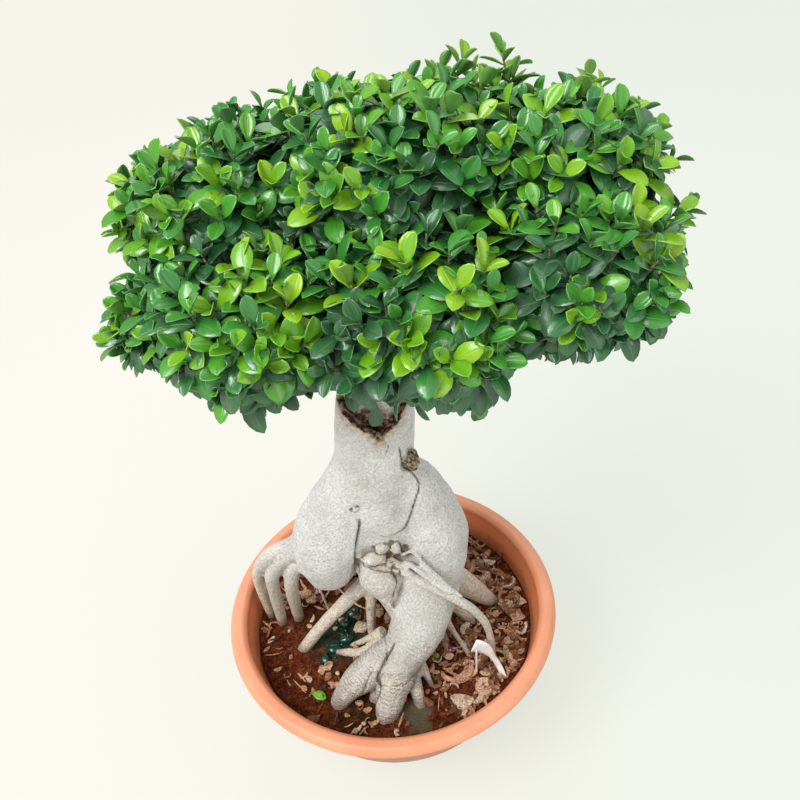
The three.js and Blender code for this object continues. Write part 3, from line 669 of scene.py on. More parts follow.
# %% Creases: half width, depth, lift of the side that swells over, and the line, all in millimetres
CREASES = [
    (2.0, 2.2, 2.4, [(27, -28, 436), (28, -27, 413), (32, -27, 407), (37, -28, 402), (41, -20, 390),
                     (44, -21, 380), (43, -25, 372), (39, -28, 364), (35, -32, 354), (31, -34, 342),
                     (27, -35, 332), (22, -36, 325), (16, -38, 322), (9, -40, 321), (3, -41, 321),
                     (-2, -41, 324)]),
    (2.6, 3.8, 3.0, [(-23, -38, 352), (-23, -40, 343), (-26, -41, 330), (-29, -42, 317), (-32, -43, 303),
                     (-33, -42, 290), (-34, -42, 278), (-36, -42, 268), (-41, -39, 257)]),
    (3.2, 4.0, 0.0, [(-30, -41, 291), (-33, -38, 278), (-32, -42, 270), (-31, -45, 265), (-29, -50, 260),
                     (-24, -56, 258)]),
    (3.0, 1.4, 0.0, [(-28, -42, 290), (-25, -43, 283), (-19, -48, 283), (-11, -52, 282), (-3, -53, 280),
                     (6, -54, 277), (11, -52, 269)]),
    (3.2, 3.4, 0.0, [(9, -54, 277), (11, -53, 266), (11, -54, 259), (8, -57, 251), (5, -57, 240)]),
    (2.4, 2.4, 0.0, [(-14, -37, 298), (-20, -38, 294), (-25, -42, 293), (-30, -41, 291)]),
    (3.6, 4.5, 0.0, [(1, -90, 200), (-7, -97, 191), (-13, -103, 183), (-18, -109, 175), (-21, -113, 166),
                     (-21, -118, 157), (-22, -121, 149), (-25, -122, 138)]),
    (2.6, 2.6, 0.0, [(-27, -106, 174), (-33, -111, 165), (-36, -114, 157), (-41, -114, 146)]),
    (2.0, 1.6, 0.0, [(-29, -37, 362), (-25, -37, 360), (-21, -37, 363), (-20, -36, 368)]),
    (1.8, 1.0, 0.0, [(8, -32, 455), (14, -33, 449), (17, -34, 441), (13, -36, 432)]),
]
# Small pits, each x, y, z, radius.
PITS = [(-12, -39, 304, 2.4), (9, -39, 310, 2.4), (5, -41, 291, 2.6), (8, -54, 288, 2.2), (24, -37, 298, 2.8),
        (-29, -37, 364, 2.4), (-23, -36, 367, 2.2), (39, -30, 404, 2.6), (45, -22, 412, 2.2),
        (33, -28, 418, 2.2)]
pits = [(skin.find_nearest(Vector(pit[:3]) * MM)[0], pit[3] * MM) for pit in PITS]
crease_facts = []
for width, depth, lift, points in CREASES:
    line = smooth_line([(*p, 1) for p in points], 1.5)[:, :3]
    line = [skin.find_nearest(Vector(place))[0] for place in line]
    for i, place in enumerate(line):
        onward = (line[min(i + 1, len(line) - 1)] - line[max(i - 1, 0)]).normalized()
        end_fade = min(1, (i + 1) / 4, (len(line) - i) / 4)
        crease_facts.append((place, onward, width * MM, depth * MM * end_fade, lift * MM * end_fade))
crease_places = kdtree.KDTree(len(crease_facts))
for i, fact in enumerate(crease_facts):
    crease_places.insert(fact[0], i)
crease_places.balance()
LIFT_REACH = 16 * MM
TANGLE, TANGLE_HEART, TANGLE_REACH = Vector((6, -48, 290)) * MM, 0.018, 34 * MM
SEAM_WIDTH, SEAM_DEPTH = 2.2 * MM, 1.8 * MM


def limb_gap(place):
    """Distance to the nearest skin of a thin limb."""
    return min(far - limb_facts[i][1] for _, i, far in limb_places.find_n(place, 24)
               if limb_facts[i][0] >= len(thick_lines))


def knot_gap(place, middle, half):
    """About the distance from a place to a knot's skin."""
    scaled = Vector([(place[i] / MM - middle[i]) / half[i] for i in range(3)])
    return (scaled.length - 1) * min(half) * MM


def pressed(place, normal):
    """(share of full crease, how far the bark goes in or out) near creases and pits."""
    _, i, far = crease_places.find(place)
    start, onward, width, depth, lift = crease_facts[i]
    share = max(0, 1 - far / width) ** 1.3
    move = -depth * share
    if far < LIFT_REACH and onward.cross(place - start).dot(normal) < 0:
        move += lift * (1 - ramp(far, 0, LIFT_REACH)) * (1 - share)
    from_tangle = (place - TANGLE).length
    if from_tangle < TANGLE_REACH:
        seams = sorted([stock_skin.find_nearest(place)[3] - 1.5 * MM, limb_gap(place)]
                       + [knot_gap(place, *knot) for knot in KNOTS])
        seam = max(0, 1 - (seams[1] - seams[0]) / SEAM_WIDTH)
        seam *= 1 - ramp(from_tangle, TANGLE_HEART, TANGLE_REACH)
        share = max(share, seam)
        move -= SEAM_DEPTH * seam
    for middle, radius in pits:
        hole = max(0, 1 - (place - middle).length / (radius * 1.5))
        share = max(share, hole)
        move -= radius * 1.1 * hole
    return share, move


def evened(bm, values, rounds):
    """One number for each point, averaged with its neighbours' again and again."""
    bm.verts.index_update()
    ends = np.array([[vert.index for vert in edge.verts] for edge in bm.edges])
    near, far = np.r_[ends[:, 0], ends[:, 1]], np.r_[ends[:, 1], ends[:, 0]]
    values, neighbours = np.array(values), np.maximum(np.bincount(near, minlength=len(values)), 1)
    for _ in range(rounds):
        values = (values + np.bincount(near, values[far], len(values)) / neighbours) / 2
    return values


def valley_shade_depth(bm, rounds=14):
    """How far each point lies under the skin's own smooth average, in millimetres: more in a valley, where
    the bark is painted darker as shade.
    """
    bm.normal_update()
    facts = [(vert.co.copy(), vert.normal.copy()) for vert in bm.verts]
    smoothed(bm, rounds)
    depths = [(vert.co - place).dot(normal) / MM for vert, (place, normal) in zip(bm.verts, facts)]
    for vert, (place, _) in zip(bm.verts, facts):
        vert.co = place
    return depths

# %% Press them in, with lumps and wrinkles
LEG_LIMB, FIRST_TOE = 2, len(thick_lines) + 3
toe_limbs = range(FIRST_TOE, FIRST_TOE + len(TOES))
bm.normal_update()
marks = {"crease": [], "rings": [], "along": [], "thin": [], "wood": [], "burr": [], "rim": []}
for vert, thin in zip(bm.verts, thinness):
    place, normal = vert.co.copy(), vert.normal.copy()
    limb, radius, along = limb_at(place)
    crease, move = pressed(place, normal)
    rings = 1.0 if limb in toe_limbs else 0.8 * ramp(0.245 - place.z, 0, 0.08) if limb == LEG_LIMB else 0.0
    burr = 1 - ramp((place - BURR * MM).length, 11 * MM, 15 * MM)
    cut = cut_skin.find_nearest(place)[3] if place.z > 0.44 else 1
    wood = 1 - ramp(cut, 1.0 * MM, 2.6 * MM)
    rim = 1 - ramp(cut + noise.noise(place * 90) * 4 * MM, 5 * MM, 13 * MM)
    swell = noise.noise(place * 24) * 2.2 * (1 - thin)
    lumps = noise.noise(place * 70) * 0.8 * (1 - 0.5 * thin)
    folds = math.sin(along / MM * 1.45 + 2 * noise.noise(place * 55)) * 0.8 * rings
    rough = noise.noise(place * 200) * 2.0 * burr
    vert.co += normal * ((swell + lumps + folds + rough) * MM + move)
    cream = thin * (0.3 if limb in toe_limbs else 1)
    for name, value in zip(marks, (crease, rings, along, cream, wood, burr, rim)):
        marks[name].append(value)
marks["hollow"] = valley_shade_depth(bm)
marks["thin"] = evened(bm, marks["thin"], 60)
marks["rings"] = evened(bm, marks["rings"], 20)
rootstock = mesh_from(bm, "rootstock")
for name, values in marks.items():
    rootstock.attributes.new(name, "FLOAT", "POINT").data.foreach_set("value", np.array(values, np.float32))

# %% [markdown]
# ## Bark
# The bark is smooth, pale grey and finely stippled, and creamier on thin roots. Its creases, pits, valleys
# and wrinkle furrows are painted darker as shade, and it is painted lighter up the neck to make up for the
# crown's shade. The finish reads the marks that the relief left on every point, so colour and shape agree.

# %% Pale grey bark
bark, tree, shader = finish("pale_bark", (0.68, 0.66, 0.61), Roughness=0.8, Specular_IOR_Level=0.25)
where = here(tree)
height = split(tree, where)["Z"]
stipple = grain(tree, 420, 4, 0.2)
grey = colours(tree, stipple, (0.0, (0.53, 0.52, 0.49)), (0.4, (0.65, 0.645, 0.615)),
               (1.0, (0.74, 0.74, 0.725)))
cream = colours(tree, stipple, (0.0, (0.52, 0.42, 0.29)), (0.5, (0.73, 0.62, 0.47)),
                (1.0, (0.87, 0.77, 0.63)))
blotch = colours(tree, cloudy(tree, where, 30, 4), (0.3, (0.84, 0.82, 0.78)), (0.65, (1.03, 1.03, 1.03)))
# Painted light: the bark is made darker low down and lighter up the neck, to make up for the crown's shade on
# it.
dust_fade_and_painted_light = colours(tree, between(tree, height, 0.25, 0.45), (0.0, (0.93, 0.93, 0.94)), (1.0, (1.08, 1.08, 1.1)))
rough = colours(tree, grain(tree, 330, 3, 0.14), (0.0, (0.07, 0.05, 0.03)), (0.6, (0.23, 0.18, 0.12)),
                (1.0, (0.42, 0.36, 0.27)))
# The cut wood in the V: its own brown grain, with near-black in places as painted shade inside the V.
cut_wood_and_shade = colours(tree, grain(tree, 190, 4, 0.16), (0.0, (0.02, 0.013, 0.007)), (0.5, (0.17, 0.09, 0.05)),
                 (1.0, (0.55, 0.38, 0.27)))
torn = colours(tree, grain(tree, 260, 4, 0.2), (0.0, (0.34, 0.25, 0.18)), (0.5, (0.58, 0.47, 0.38)),
               (1.0, (0.72, 0.63, 0.53)))

# Wrinkles run round the limb, so they follow the distance along it. Their furrows are painted darker, as
# shade.
waver = times(tree, cloudy(tree, where, 70, 2), 7)
wrinkle = number(tree, "SINE", plus(tree, times(tree, carried(tree, "along"), 1450), waver))
furrow = times(tree, between(tree, wrinkle, 0.1, 0.9), carried(tree, "rings"))
furrow = times(tree, furrow, between(tree, cloudy(tree, where, 70, 2), 0.35, 0.6))

skin = layered(
    tree, grey, (1.0, blotch, "MULTIPLY"),
    (between(tree, cloudy(tree, where, 75, 3, 1.2), 0.6, 0.72, 0, 0.3), (0.33, 0.32, 0.28)),
    (between(tree, height, 0.15, 0.3, 1.0, 0), (0.88, 0.87, 0.82), "MULTIPLY"),
    (times(tree, carried(tree, "thin"), between(tree, height, 0.15, 0.29, 0.75, 0.15)), cream),
    (1.0, dust_fade_and_painted_light, "MULTIPLY"),
    (times(tree, furrow, 0.6), (0.27, 0.24, 0.18)),
    # Painted shade: the skin's valleys, and its creases, pits and seams, are darkened.
    (between(tree, carried(tree, "hollow"), 0.15, 1.3, 0, 0.75), (0.2, 0.16, 0.11)),
    (between(tree, carried(tree, "crease"), 0.2, 0.8, 0, 0.9), (0.15, 0.115, 0.075)),
    (times(tree, near(tree, where, (4, -46, 290), 26), 0.9), (0.84, 0.79, 0.72), "MULTIPLY"),
    (carried(tree, "burr"), rough),
    (times(tree, carried(tree, "rim"), 0.85), torn),
    (carried(tree, "wood"), cut_wood_and_shade),
    (times(tree, dust(tree, 0.122, 0.02), 0.55), (0.2, 0.11, 0.065)))
feed(shader, Base_Color=skin)
relief = plus(tree, stipple, times(tree, grain(tree, 210, 3, 0.3), 1.2))
embossed(tree, shader, number(tree, "SUBTRACT", relief, times(tree, furrow, 2.0)), 0.0007, 0.9)
piece("rootstock", rootstock, "bark", bark, replaces=["trunk"])

# %% [markdown]
# The branches that carry the crown spring from inside the cut neck. Leaves hide most of them, so they are
# a second, coarser skin in the same bark.

# %% Branches in the crown
BRANCH_VOXEL = 3.2 * MM
branches = worked(tubes(branch_lines), ("REMESH", {"mode": "VOXEL", "voxel_size": BRANCH_VOXEL}))
bm = bmesh.new()
bm.from_mesh(branches)
smoothed(bm, 2)
bm.normal_update()
for vert in bm.verts:
    vert.co += vert.normal * noise.noise(vert.co * 80) * 1.2 * MM
branches = mesh_from(bm, "branches")
wood = [1 - ramp(vert.co.z, 0.465, 0.49) for vert in branches.vertices]
branches.attributes.new("wood", "FLOAT", "POINT").data.foreach_set("value", np.array(wood, np.float32))
piece("crown_branches", branches, "bark", bark, replaces=["trunk"])

# %% [markdown]
# ## One leaf
# A leaf of this fig is a thick little paddle: narrow at its stalk, broadest near its round tip, smooth-edged
# and folded a little along its midrib. It starts as a flat grid whose rows are moved to that outline. The
# grid's UV map then runs along and across the leaf, so the midrib and a pale margin can be drawn on it; the
# margin is a painted highlight along the glossy edge.

# %% A leaf from a grid
def sheet(across, rows, thick, point, leafy=False):
    """A thin closed sheet: the points of a grid, side -1 to 1 and t -0.5 to 0.5, go to point(side, t)."""
    bm = bmesh.new()
    if leafy:
        bm.loops.layers.uv.new("UVMap")
    bmesh.ops.create_grid(bm, x_segments=across, y_segments=rows, size=0.5, calc_uvs=leafy)
    for vert in bm.verts:
        vert.co = point(vert.co.x * 2, vert.co.y)
    if leafy:
        bmesh.ops.remove_doubles(bm, verts=bm.verts, dist=1e-5)
    bmesh.ops.recalc_face_normals(bm, faces=bm.faces)
    if leafy and bm.faces[:][0].normal.z < 0:
        bmesh.ops.reverse_faces(bm, faces=bm.faces)
    bmesh.ops.solidify(bm, geom=bm.faces[:], thickness=thick * MM)
    bm.normal_update()
    return bm


def leaf(length, width, fold, droop, cup, across):
    """A leaf that grows from the origin along +Y with its upper face to +Z, sizes in millimetres."""
    def point(side, t):
        t = 1 - (0.5 - t) ** 1.4
        half = width / 2 * max(math.sin(math.pi * min(t, 1) ** 1.3), 0) ** (0.95 - 0.42 * t)
        off = side * max(half, 1.0 if t < 0.5 else 0)
        rise = fold * abs(off) - droop * length * t * t + cup * off * off / width
        return Vector((off, length * t, rise)) * MM

    bm = sheet(across, 6, 0.55, point, leafy=True)
    for face in bm.faces:
        face.material_index = 1 if face.normal.z < 0 else 0
    mesh = mesh_from(bm, "leaf")
    for name in ("age", "tone"):
        mesh.attributes.new(name, "FLOAT", "POINT")
    return mesh


# From the youngest leaf, small and cupped, to the oldest, broad and drooping: length, width, fold, droop,
# cup, and faces across.
LEAF_SIZES = [(16, 8.5, 0.7, -0.12, 0.0, 2), (22, 12, 0.45, 0.0, 0.3, 4), (28, 15, 0.4, 0.12, 0.0, 2),
              (31, 16.5, 0.35, 0.22, 0.0, 2), (32, 17, 0.25, 0.32, 0.0, 2)]
LEAF_KINDS = [leaf(*sizes) for sizes in LEAF_SIZES]
print("faces of a leaf:", [len(mesh.polygons) for mesh in LEAF_KINDS])

# %% Glossy green, from lime to dark, and dull at last
GREENS = [(0.0, (0.29, 0.54, 0.01)), (0.16, (0.14, 0.41, 0.01)), (0.36, (0.06, 0.315, 0.022)),
          (0.62, (0.027, 0.185, 0.039)), (0.85, (0.027, 0.11, 0.041)), (1.0, (0.047, 0.12, 0.061))]


def leaf_finish(name, under):
    material, tree, shader = finish(name, (0.03, 0.2, 0.04), Roughness=0.34, Specular_IOR_Level=0.5,
                                    Coat_Weight=0.0, Coat_Roughness=0.14)
    age = plus(tree, carried(tree, "age"), times(tree, carried(tree, "tone"), 0.07))
    uv = split(tree, add(tree, "ShaderNodeUVMap", uv_map="UVMap").outputs["UV"])
    side = number(tree, "ABSOLUTE", number(tree, "SUBTRACT", uv["X"], 0.5))
    rib = between(tree, side, 0.0, 0.05, 1, 0)
    slant = plus(tree, times(tree, uv["Y"], 60), times(tree, side, -46))
    veins = times(tree, between(tree, number(tree, "SINE", slant), 0.7, 1), 0.07)
    green = layered(tree, colours(tree, age, *GREENS),
                    # The pale margin is a painted highlight along the glossy edge.
                    (times(tree, between(tree, side, 0.455, 0.5), 0.1), (0.4, 0.6, 0.22)),
                    (plus(tree, times(tree, rib, 0.22), veins), (0.24, 0.46, 0.1)))
    if under:
        green = blended(tree, 0.5, green, (0.12, 0.22, 0.12))
    else:
        feed(shader, Coat_Weight=between(tree, age, 0.8, 1.0, 0.6, 0.1))
    feed(shader, Base_Color=green, Roughness=between(tree, age, 0.7, 1.0, 0.28, 0.5))
    embossed(tree, shader, number(tree, "SUBTRACT", veins, rib), 0.0004, 0.6)
    return material


leaf_upper = leaf_finish("glossy_leaf", False)
leaf_under = leaf_finish("leaf_underside", True)
twig_skin, tree, shader = finish("green_twig", (0.12, 0.13, 0.06), Roughness=0.6)
feed(shader, Base_Color=colours(tree, grain(tree, 300), (0, (0.07, 0.055, 0.03)), (1, (0.2, 0.2, 0.09))))

# %% [markdown]
# ## Shoots and pads
# The crown is a set of leafy pads, one for each packed foliage solid. On each pad, shoots stand a
# finger's width apart and lean out and up to the light. A shoot carries its leaves in a spiral, a golden
# angle from one to the next: broad dark ones spread at its foot, and small ones stand up at its tip. The
# bright shoots of this season's lime-green growth are placed one by one where the picture shows them, and
# a few more are strewn among the rest. All leaves of a pad are merged into one mesh.

# %% Pads, in millimetres: middle and half sizes
PADS = {
    "foliage_top": ((38, 20, 712), (128, 118, 86)),
    "foliage_top_left": ((-96, 26, 686), (118, 112, 86)),
    "foliage_top_right": ((180, 28, 695), (120, 116, 86)),
    "foliage_back": ((50, 112, 662), (130, 92, 96)),
    "foliage_back_left": ((-78, 96, 650), (112, 92, 86)),
    "foliage_back_right": ((176, 96, 654), (110, 92, 88)),
    "foliage_front": ((52, -96, 630), (112, 94, 90)),
    "foliage_front_left": ((-76, -76, 632), (112, 98, 82)),
    "foliage_front_right": ((176, -68, 646), (108, 98, 82)),
    "foliage_left": ((-132, -24, 622), (90, 90, 68)),
    "foliage_right": ((222, -8, 636), (84, 100, 76)),
}
# Shoots that stand out of the outline, the bright ones first.
SPRIGS = [
    (112, 94, 768), (120, 90, 752), (102, 92, 750), (146, 94, 770), (138, 92, 752), (154, 88, 752),
    (220, 85, 744), (233, 90, 736), (280, -4, 596), (92, -104, 576), (14, -84, 556), (-194, -28, 608),
    (-108, -100, 588), (-184, -20, 689), (-200, -60, 612), (273, 50, 707), (-13, 90, 758), (8, 90, 753),
    (-39, 80, 755), (-63, 70, 749), (-87, 60, 751), (-169, 0, 715), (-154, 20, 731), (-195, -60, 599),
    (261, 60, 720), (284, 30, 687), (294, 0, 658), (93, 100, 758), (66, 100, 754),
]
BRIGHT_SPRIGS = 16
# Bright young growth stands at these places, and around the dull ones, within a reach, leaves are painted
# dull, as shade.
BRIGHT_SHOOTS = [
    (162, -12, 753), (206, -23, 747), (210, 45, 757), (122, -79, 693), (93, -53, 684), (169, -59, 721),
    (45, -122, 695), (105, -116, 683), (176, -141, 664), (164, -145, 647), (87, -149, 671),
    (43, -167, 647), (71, -168, 638), (77, -162, 604), (286, -20, 666), (238, -113, 671),
    (242, -115, 623), (218, -51, 721), (250, -35, 712), (258, 35, 738), (129, -33, 733), (88, -25, 762),
    (121, 43, 758), (-20, -53, 736), (-48, -35, 725), (-16, -64, 717), (8, -41, 759), (41, -4, 776),
    (17, -9, 774), (-90, -40, 731), (-110, -3, 748), (-132, -4, 743), (-166, 42, 736), (-136, -50, 711),
    (-157, -44, 692), (-197, -4, 688), (-175, -1, 719), (-65, -68, 693), (-76, -91, 693),
    (-73, -111, 687), (-47, -90, 689), (42, -117, 697), (2, -123, 682), (17, -72, 728), (-101, -127, 675),
    (-185, -62, 639), (-207, -59, 619), (-52, -143, 658), (-42, -146, 640), (-62, -152, 636),
    (-31, -141, 645), (-123, -140, 647), (-83, -148, 653), (-41, -126, 673), (-108, -142, 607),
    (-98, -133, 588), (18, -161, 651), (42, -163, 655),
]
DULL_PLACES = [
    ((-88, -93, 691), 34), ((150, -128, 688), 30), ((195, -139, 668), 32), ((-21, -128, 597), 56),
    ((8, -152, 660), 34), ((67, -73, 717), 34), ((-30, -50, 690), 26),
]
# How far the crown reaches from its middle in the picture, in steps of 6 degrees, clockwise from the right.
CROWN_MIDDLE = (395, 235)
CROWN_REACH = [
    290, 294, 289, 298, 274, 236, 214, 160, 180, 182, 192, 211, 182, 170, 168, 166, 167, 171, 177, 172,
    184, 211, 244, 260, 244, 276, 302, 315, 293, 272, 295, 282, 290, 276, 236, 238, 222, 210, 192, 189,
    176, 184, 167, 162, 166, 162, 164, 178, 200, 190, 225, 197, 211, 244, 257, 282, 296, 291, 291, 306,
]
# Under the crown's middle the branches stay bare.
BARE_ROOM = ((22, 0, 545), (104, 78, 84))
GOLDEN_ANGLE = math.radians(137.5)
SHOOT_SPACING, SHOOT_LEAVES, LEAF_PITCH = 22, 8, 3.6


def depth_in(pad, place):
    """1 on a pad's surface, less inside it."""
    middle, half = pad
    return math.sqrt(sum(((place[i] - middle[i]) / half[i]) ** 2 for i in range(3)))


def nearest_pad(place):
    return min(PADS, key=lambda name: depth_in(PADS[name], place))


def spread(pad, inset, spacing, dice):
    """Places and outward directions spread evenly over a pad, this far under its surface."""
    middle, half = Vector(pad[0]), Vector(pad[1]) - Vector((inset, inset, inset))
    area = 4 * math.pi * (half.x * half.y + half.y * half.z + half.z * half.x) / 3
    count = int(area / spacing ** 2)
    for i in range(count):
        z = 1 - (2 * i + 1) / count
        turn = i * GOLDEN_ANGLE + dice.uniform(-0.25, 0.25)
        flat = math.sqrt(1 - z * z)
        unit = Vector((flat * math.cos(turn), flat * math.sin(turn), z))
        place = middle + Vector((unit.x * half.x, unit.y * half.y, unit.z * half.z))
        yield place, Vector((unit.x / half.x, unit.y / half.y, unit.z / half.z)).normalized()


print("pads:", len(PADS), "shoots that stand out:", len(SPRIGS), "bright ones:", len(BRIGHT_SHOOTS))

# %% What the camera sees of a place
# Leaves reach this far past a shoot's tip. Its foot leaves sit this far back and hang this far down.
LEAF_REACH, FOOT_BACK, FOOT_DROP = 17, 22, 24


def beyond_outline(place):
    """How far a place in millimetres shows outside the crown's outline, in picture points."""
    ray = place * MM - CAMERA_PLACE
    deep = ray.dot(forward)
    right = PICTURE_SIDE / 2 + FOCUS * ray.dot(camera_x) / deep - CROWN_MIDDLE[0]
    down = PICTURE_SIDE / 2 - FOCUS * ray.dot(camera_y) / deep - CROWN_MIDDLE[1]
    step = math.atan2(down, right) / math.tau * len(CROWN_REACH)
    low = math.floor(step)
    reach, next_reach = (CROWN_REACH[i % len(CROWN_REACH)] for i in (low, low + 1))
    return math.hypot(right, down) - reach - (next_reach - reach) * (step - low)


def sticks_out(tip, axis):
    """The same for a shoot: the larger of what its tip leaves and its hanging foot leaves show."""
    foot_leaves = tip - axis * FOOT_BACK + Vector((0, 0, -FOOT_DROP))
    return max(beyond_outline(tip + axis * LEAF_REACH), beyond_outline(foot_leaves))

# %% A leaf in its place, and a shoot of leaves
FOOT_AGE = 0.84
HANGING_KIND, HANGING_WIDTH, HANGING_LENGTH = 3, 18, 31


def marked(mesh, **marks):
    """A copy of a mesh with one value of each mark on all its points."""
    copy = mesh.copy()
    for name, value in marks.items():
        copy.attributes[name].data.foreach_set("value", np.full(len(copy.vertices), value, np.float32))
    return copy


def merge(bm, copy, matrix):
    copy.transform(matrix)
    bm.from_mesh(copy)
    bpy.data.meshes.remove(copy)


def frame_for(axis, spin):
    """A turn that takes +Z to the axis, after a spin about it."""
    return axis.to_track_quat("Z", "Y").to_matrix().to_4x4() @ Matrix.Rotation(spin, 4, "Z")


def put_leaf(bm, kind, place, axis, spin, open_by, size, age, tone):
    """Adds one leaf that opens from the axis by an angle."""
    tilt = Matrix.Rotation(math.pi / 2 - open_by, 4, "X")
    matrix = Matrix.Translation(place * MM) @ frame_for(axis, spin) @ tilt @ Matrix.Scale(size, 4)
    merge(bm, marked(LEAF_KINDS[kind], age=age, tone=tone), matrix)


def hang_leaf(bm, top, tip, width, age):
    """One leaf that hangs from its top, its upper face to the front."""
    along, face = tip - top, Vector((0.1, -0.8, 0.5))
    face = (face - along * face.dot(along) / along.length_squared).normalized()
    side = along.normalized().cross(face)
    turn = Matrix((side * width / HANGING_WIDTH, along / HANGING_LENGTH, face)).transposed().to_4x4()
    merge(bm, marked(LEAF_KINDS[HANGING_KIND], age=age), Matrix.Translation(top * MM) @ turn)


def put_twig(bm, start, end, radius):
    """Adds a thin five-sided stem."""
    stem = end - start
    shape = Matrix.Translation((start + end) / 2 * MM) @ stem.to_track_quat("Z", "Y").to_matrix().to_4x4()
    made = bmesh.ops.create_cone(bm, cap_ends=True, segments=5, radius1=radius * MM,
                                 radius2=radius * 0.7 * MM, depth=stem.length * MM, matrix=shape)
    for face in {face for vert in made["verts"] for face in vert.link_faces}:
        face.material_index = 2


def put_shoot(bm, tip, axis, dice, inward, bright=False, leaves=SHOOT_LEAVES, size=1.0, dull=0.0):
    """A shoot that ends at its tip. A bright one has young leaves, a dull one is shaded."""
    start = dice.uniform(0, math.tau)
    youngest = dice.uniform(0.0, 0.14) if bright else dice.uniform(0.24, 0.54)
    if bright:
        youngest += 0.12 * ramp(690 - tip.z, 0, 60)
    young_from, young_to, older = (0, 0.75, 0.3) if bright else (0.15, 0.8, 0)
    for i in range(leaves):
        up = i / (leaves - 1)
        age = FOOT_AGE - (FOOT_AGE - youngest) * ramp(up, young_from, young_to)
        age = age + dull * (1 - age) + dice.uniform(-0.06, 0.06)
        kind = min(4, max(0, round(4 - 3.4 * up + older + dice.uniform(-0.4, 0.4))))
        open_by = math.radians(100 - 64 * up ** 1.3 + dice.uniform(-14, 14))
        place = tip - axis * (leaves - 1 - i) * LEAF_PITCH
        put_leaf(bm, kind, place, axis, start + i * GOLDEN_ANGLE, open_by, size * dice.uniform(0.85, 1.12),
                 min(1, max(0, age)), dice.uniform(-1, 1))
    foot = tip - axis * leaves * LEAF_PITCH
    put_twig(bm, foot, tip, 1.3)
    put_twig(bm, foot + inward * 26, foot, 1.8)

# %% Fill every pad
SKIN_DEPTH, INNER_DEPTH = 19, 42
INNER_SPACING, INNER_LEAVES = 27, 4
# The share of bright shoots among those spread evenly: at the front, and what is added towards the back.
FRONT_SHARE, BACK_SHARE = 0.06, 0.24
# How far painted shade dulls the leaves on the underside, and at the heart of a dull place.
UNDERSIDE, DULLEST = 0.6, 0.62
# Shoots are drawn in until they show this many picture points past the outline, so a little inside it.
EDGE = -3
# Single leaves that hang at the neck and under the front: top, tip, width, and age from young to dull.
HANGING = [
    ((9, -58, 522), (8, -52, 480), 15, 1.0), ((-18, -62, 578), (-23, -58, 550), 19, 0.95),
    ((-8, -58, 564), (-12, -55, 534), 18, 1.0), ((0, -55, 556), (-1, -52, 524), 19, 0.9),
    ((12, -56, 556), (13, -53, 526), 18, 1.0), ((40, -48, 545), (37, -45, 510), 22, 0.8),
    ((30, -56, 560), (28, -52, 524), 20, 0.85), ((-37, -64, 590), (-37, -60, 562), 19, 1.0),
    ((-49, -64, 590), (-60, -60, 566), 19, 0.9), ((96, -110, 560), (99, -106, 522), 17, 0.72),
    ((48, -50, 562), (51, -48, 532), 19, 0.85), ((-32, -52, 562), (-36, -48, 532), 19, 1.0),
    ((-22, -50, 552), (-26, -46, 522), 18, 1.0), ((-42, -40, 556), (-48, -36, 528), 18, 0.95),
    ((24, -54, 539), (22, -50, 509), 15, 0.9), ((34, -52, 534), (34, -48, 503), 16, 0.8),
]
feet = []


def growing(out, lift, reach, dice):
    """The way that leaves grow: outward, up to the light, and a little at random."""
    return (out + Vector((0, 0, lift)) + Vector([dice.uniform(-reach, reach) for _ in range(3)])).normalized()


def dulled(tip, out):
    """How dull a shoot is painted, as shade: by the dull places near it and by its share in the underside."""
    shades = [DULLEST * (1 - ramp((tip - Vector(centre)).length, reach * 0.7, reach))
              for centre, reach in DULL_PLACES]
    return max(0.0, *shades, UNDERSIDE * ramp(-out.z, -0.05, 0.6))


def outer_shoots(bm, name, pad, others, dice):
    """The bright shoots that the picture shows on this pad, and then shoots spread over the rest."""
    places = [Vector(place) for place in BRIGHT_SHOOTS if nearest_pad(place) == name]
    shoots = [(place, (place - Vector(pad[0])).normalized(), True) for place in places]
    shoots += [(place, out, False) for place, out in spread(pad, SKIN_DEPTH, SHOOT_SPACING, dice)]
    for place, out, chosen in shoots:
        axis = growing(out, 0.9, 0.3, dice)
        bright = chosen or dice.random() < BACK_SHARE * ramp(out.y, -0.3, 0.5) + FRONT_SHARE
        tip = place - out * dice.uniform(-2, 9)
        while sticks_out(tip, axis) > EDGE and depth_in(pad, tip) > 0.55:
            tip -= out * 3
        hidden = any(depth_in(p, tip) < 0.87 for p in others) or depth_in(BARE_ROOM, tip) < 1.02
        crowded = any((tip - foot).length < SHOOT_SPACING * 0.6 for foot in feet)
        if not chosen and (hidden or crowded or sticks_out(tip, axis) > 2):
            continue
        feet.append(tip)
        dull = 0.0 if chosen else dulled(tip, out)
        leaves, size = (10, 1.05) if chosen else (SHOOT_LEAVES, 1.0)
        inward = (Vector(pad[0]) - tip).normalized()
        put_shoot(bm, tip, axis, dice, inward, chosen or (bright and dull < 0.5), leaves, size, dull)


def inner_leaves(bm, pad, others, dice):
    """Old leaves deeper inside the pad, so that it isn't hollow between its shoots."""
    for place, out in spread(pad, INNER_DEPTH, INNER_SPACING, dice):
        if depth_in(BARE_ROOM, place) < 1.0 or any(depth_in(p, place) < 0.66 for p in others):
            continue
        axis = growing(out, 0.3, 0.5, dice)
        for i in range(INNER_LEAVES):
            put_leaf(bm, 4, place, axis, i * GOLDEN_ANGLE + dice.random(), math.radians(75),
                     dice.uniform(0.9, 1.15), dice.uniform(0.58, 0.95), dice.uniform(-1, 1))


def outer_sprigs(bm, name, pad, dice):
    for number_of_sprig, tip in enumerate(SPRIGS):
        if nearest_pad(tip) == name:
            inward = (Vector(pad[0]) - Vector(tip)).normalized()
            axis = (Vector((0, 0, 0.9)) - inward).normalized()
            put_shoot(bm, Vector(tip), axis, dice, inward, number_of_sprig < BRIGHT_SPRIGS, 10, 0.85)


